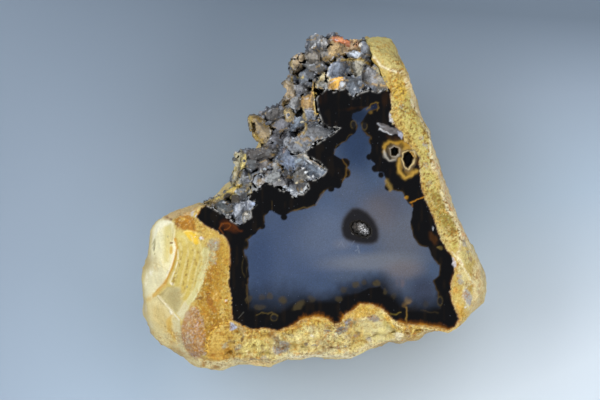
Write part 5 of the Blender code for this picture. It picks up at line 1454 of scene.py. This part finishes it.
def planted(shape, spot, way, size, flat, colour):
    """A copy of a crystal that grows at a spot in one direction."""
    turn = Euler((0, 0, random_spots.uniform(0, math.tau))).to_matrix().to_4x4()
    pose = Matrix.Translation(spot) @ way.to_track_quat("Z", "Y").to_matrix().to_4x4() @ turn
    mesh = shape.data.copy()
    growth = np.array([vertex.co.z for vertex in mesh.vertices]) * size / 0.001
    mesh.transform(pose @ Matrix.Diagonal((size, size * flat, size, 1)))
    crystal = bpy.data.objects.new("crystal", mesh)
    bpy.context.collection.objects.link(crystal)
    keep_value(crystal, "growth", growth)
    keep_colour(crystal, "tint", np.tile(colour, (len(growth), 1)))
    return crystal


templates = [
    six_sided("stout_point", 1.6, 0.9, 0.15), six_sided("slim_point", 2.4, 1.1, -0.1),
    six_sided("chisel_point", 1.2, 0.5, 0.45),
]
random_spots = np.random.RandomState(8)
bumpy_ways = normals_of(crust)
outer = np.nonzero((ways[:, 2] > -0.3) & (ways[:, 2] < 0.75) & (from_band > 10) & (places[:, 2] > 0.0225))[0]
joined = []
for index in random_spots.choice(outer, FREE_POINTS, replace=False):
    spot = Vector(bumpy[index]) - Vector(bumpy_ways[index]) * 0.0003
    way = Vector(bumpy_ways[index]) + Vector(random_spots.normal(0, 0.5, 3)) + Vector((-0.1, 0.1, 0.3))
    way.normalize()
    colour = zone_colours(np.array([spot]))[0] * random_spots.uniform(0.4, 1.6)
    size, flat = random_spots.uniform(0.00025, 0.00055), random_spots.uniform(0.5, 1.0)
    tip = np.array([spot + way * size * 2.6])
    if depth_inside(*grid_places(tip), CRUST_OUTLINE + CRYSTAL_EDGE[::-1])[0] < -1.5:
        continue
    joined.append(planted(templates[random_spots.randint(3)], spot, way, size, flat, colour))
# The bright broken rim where the saw met the crystals
for number in range(RIM_CRYSTALS):
    at = random_spots.uniform(0, len(CRYSTAL_EDGE) - 1.001)
    start, end = CRYSTAL_EDGE[int(at)], CRYSTAL_EDGE[int(at) + 1]
    mid_column, mid_row = np.array(start) + (np.array(end) - start) * (at % 1)
    mid_column -= random_spots.uniform(0, 2)
    mid_row -= random_spots.uniform(0, 2)
    spot = place(mid_column, mid_row, FACE_HEIGHT - 0.0004)
    way = Vector((*random_spots.normal(0, 0.6, 2), 1)).normalized()
    size = random_spots.uniform(0.00010, 0.00026)
    colour = np.array((0.62, 0.64, 0.68)) * random_spots.uniform(0.2, 0.9)
    joined.append(planted(templates[2], spot, way, size, 0.8, colour))
only(crust)
for point in joined:
    point.select_set(True)
bpy.ops.object.join()
for shape in templates:
    bpy.data.objects.remove(shape)
places = points_of(crust)
places[:, 2] = np.minimum(places[:, 2], FACE_HEIGHT - CRYSTAL_GAP)
put_points(crust, places)

quartz, tree, shader = new_finish("grey satin quartz")
shade = stored(tree, "tint", "Color")
growth_out = stored(tree, "growth")
cloudy = grains(tree, 0.0006, 4.0, 0.7)
shade = mixed(tree, between(tree, cloudy, 0.50, 0.38, 0.0, 0.6), shade, (0.04, 0.038, 0.04, 1))
shade = mixed(tree, between(tree, cloudy, 0.56, 0.66, 0.0, 0.22), shade, (0.60, 0.62, 0.66, 1))
tree.links.new(shade, shader.inputs["Base Color"])
shader.inputs["Roughness"].default_value = 0.22
lines = add(
    tree, "ShaderNodeTexNoise", {"W": times(tree, growth_out, 4.0), "Scale": 1.0, "Detail": 2.0},
    noise_dimensions="1D",
)
ribs = relief(tree, shader, lines.outputs["Fac"], 0.00006)
relief(tree, shader, grains(tree, 0.0004, 3.0), 0.00010, ribs)
crust.data.materials.append(quartz)
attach(crust, "root")
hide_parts("crystal_crust")

# The druse: a cushion of tiny clear quartz points that grew last of all, on the floor of the pit in the
# middle of the face. It is the imported solid, with painted glints in its finish over a patch painted as lit.
druse = from_solid("druse", "heart_druse")
column, row = grid_places(points_of(druse))
keep_value(druse, "lit", ease(patch(column, row, (363.6, 229, 8.4, 4.2, 48)), 0, 0.6))
keep_value(druse, "dusk", ease(patch(column, row, (358, 226.5, 8, 6, 20)), 0, 0.9))
glitter, tree, shader = new_finish("druse with painted glints")
# painted glints, only in the patch painted as lit
spark = times(tree, between(tree, grains(tree, 0.00030, 3.0, 0.7), 0.46, 0.60), stored(tree, "lit"))
dusk = times(tree, between(tree, grains(tree, 0.00045, 3.0, 0.6), 0.40, 0.62), stored(tree, "dusk"))
shade = mixed(tree, dusk, (0.020, 0.019, 0.019, 1), (0.15, 0.13, 0.115, 1))
shade = mixed(tree, spark, shade, (0.90, 0.91, 0.95, 1))
tree.links.new(shade, shader.inputs["Base Color"])
shader.inputs["Roughness"].default_value = 0.3
druse.data.materials.append(glitter)
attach(druse, "root")
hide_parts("druse")

# The table top under the stone: pale paper with painted light on it, bright towards the lower right and
# darkening to blue-grey away from there. Farther off than the picture reaches it is one plain tone.
PICTURE_REACH = 0.09
FLOOR_SIZE = 3


def plus(tree, first, second):
    return add(tree, "ShaderNodeMath", {0: first, 1: second}, operation="ADD").outputs[0]


bpy.ops.object.select_all(action="DESELECT")
bpy.ops.mesh.primitive_plane_add(size=FLOOR_SIZE, location=(0, 0, 0))
floor = bpy.context.object
floor.name = "floor"
paper, tree, shader = new_finish("pale paper")
where = add(tree, "ShaderNodeTexCoord").outputs["Object"]
spot = add(tree, "ShaderNodeSeparateXYZ", {0: where})
down = times(tree, spot.outputs["Y"], -1.0)
spread = plus(tree, times(tree, down, 9.5), 0.3)
down = plus(tree, down, times(tree, spot.outputs["X"], spread))
painted_light_grade = add(tree, "ShaderNodeValToRGB", {0: between(tree, down, -0.045, 0.075)})
painted_light_grade.color_ramp.elements[0].color = (0.145, 0.185, 0.24, 1)
painted_light_grade.color_ramp.elements[1].color = (0.67, 0.76, 0.86, 1)
for position, colour in ((0.22, (0.28, 0.345, 0.435, 1)), (0.5, (0.40, 0.50, 0.62, 1))):
    painted_light_grade.color_ramp.elements.new(position).color = colour
away = add(tree, "ShaderNodeVectorMath", {0: where}, operation="LENGTH").outputs["Value"]
shade = mixed(tree, between(tree, away, PICTURE_REACH, 0.20), painted_light_grade.outputs[0], (0.48, 0.56, 0.65, 1))
tree.links.new(shade, shader.inputs["Base Color"])
shader.inputs["Roughness"].default_value = 0.9
shader.inputs["Specular IOR Level"].default_value = 0.0
floor.data.materials.append(paper)

# The camera looks straight down on the face from far off
CAMERA_DISTANCE = 3.0
VIEW_MIDDLE = (300, 200)
VIEW_COLUMNS = 600
lens = bpy.data.cameras.new("camera")
lens.sensor_width = 36
lens.lens = lens.sensor_width * CAMERA_DISTANCE / (VIEW_COLUMNS * STEP)
lens.clip_end = 20
camera = bpy.data.objects.new("camera", lens)
camera.location = place(*VIEW_MIDDLE, FACE_HEIGHT + CAMERA_DISTANCE)
bpy.context.collection.objects.link(camera)
bpy.context.scene.camera = camera

# Soft studio light: a broad lamp from the upper right, weaker ones from the left and below, and a dim room
LAMPS = [
    ("key", (0.34, 0.64, 0.8), 0.8, 4.5, (1.0, 0.98, 0.94)),
    ("sky", (-0.5, 0.75, 0.75), 0.9, 2.8, (0.93, 0.97, 1.0)),
    ("fill", (-0.78, 0.2, 0.6), 0.9, 8.3, (0.94, 0.97, 1.0)),
    ("front", (0.1, -0.85, 0.45), 0.8, 5.5, (1.0, 0.98, 0.95)),
    ("side", (0.8, -0.1, 0.6), 0.9, 4.4, (1.0, 0.98, 0.96)),
]
for name, spot, size, watts, colour in LAMPS:
    lamp = bpy.data.lights.new(name, "AREA")
    lamp.size = size
    lamp.energy = watts
    lamp.color = colour
    holder = bpy.data.objects.new(name, lamp)
    holder.location = spot
    holder.rotation_euler = (-Vector(spot)).to_track_quat("-Z", "Y").to_euler()
    bpy.context.collection.objects.link(holder)
room = bpy.data.worlds.new("room")
room.use_nodes = True
room.node_tree.nodes["Background"].inputs["Color"].default_value = (0.095, 0.10, 0.11, 1)
room.node_tree.nodes["Background"].inputs["Strength"].default_value = 1.0
bpy.context.scene.world = room
bpy.context.scene.view_settings.view_transform = "Standard"
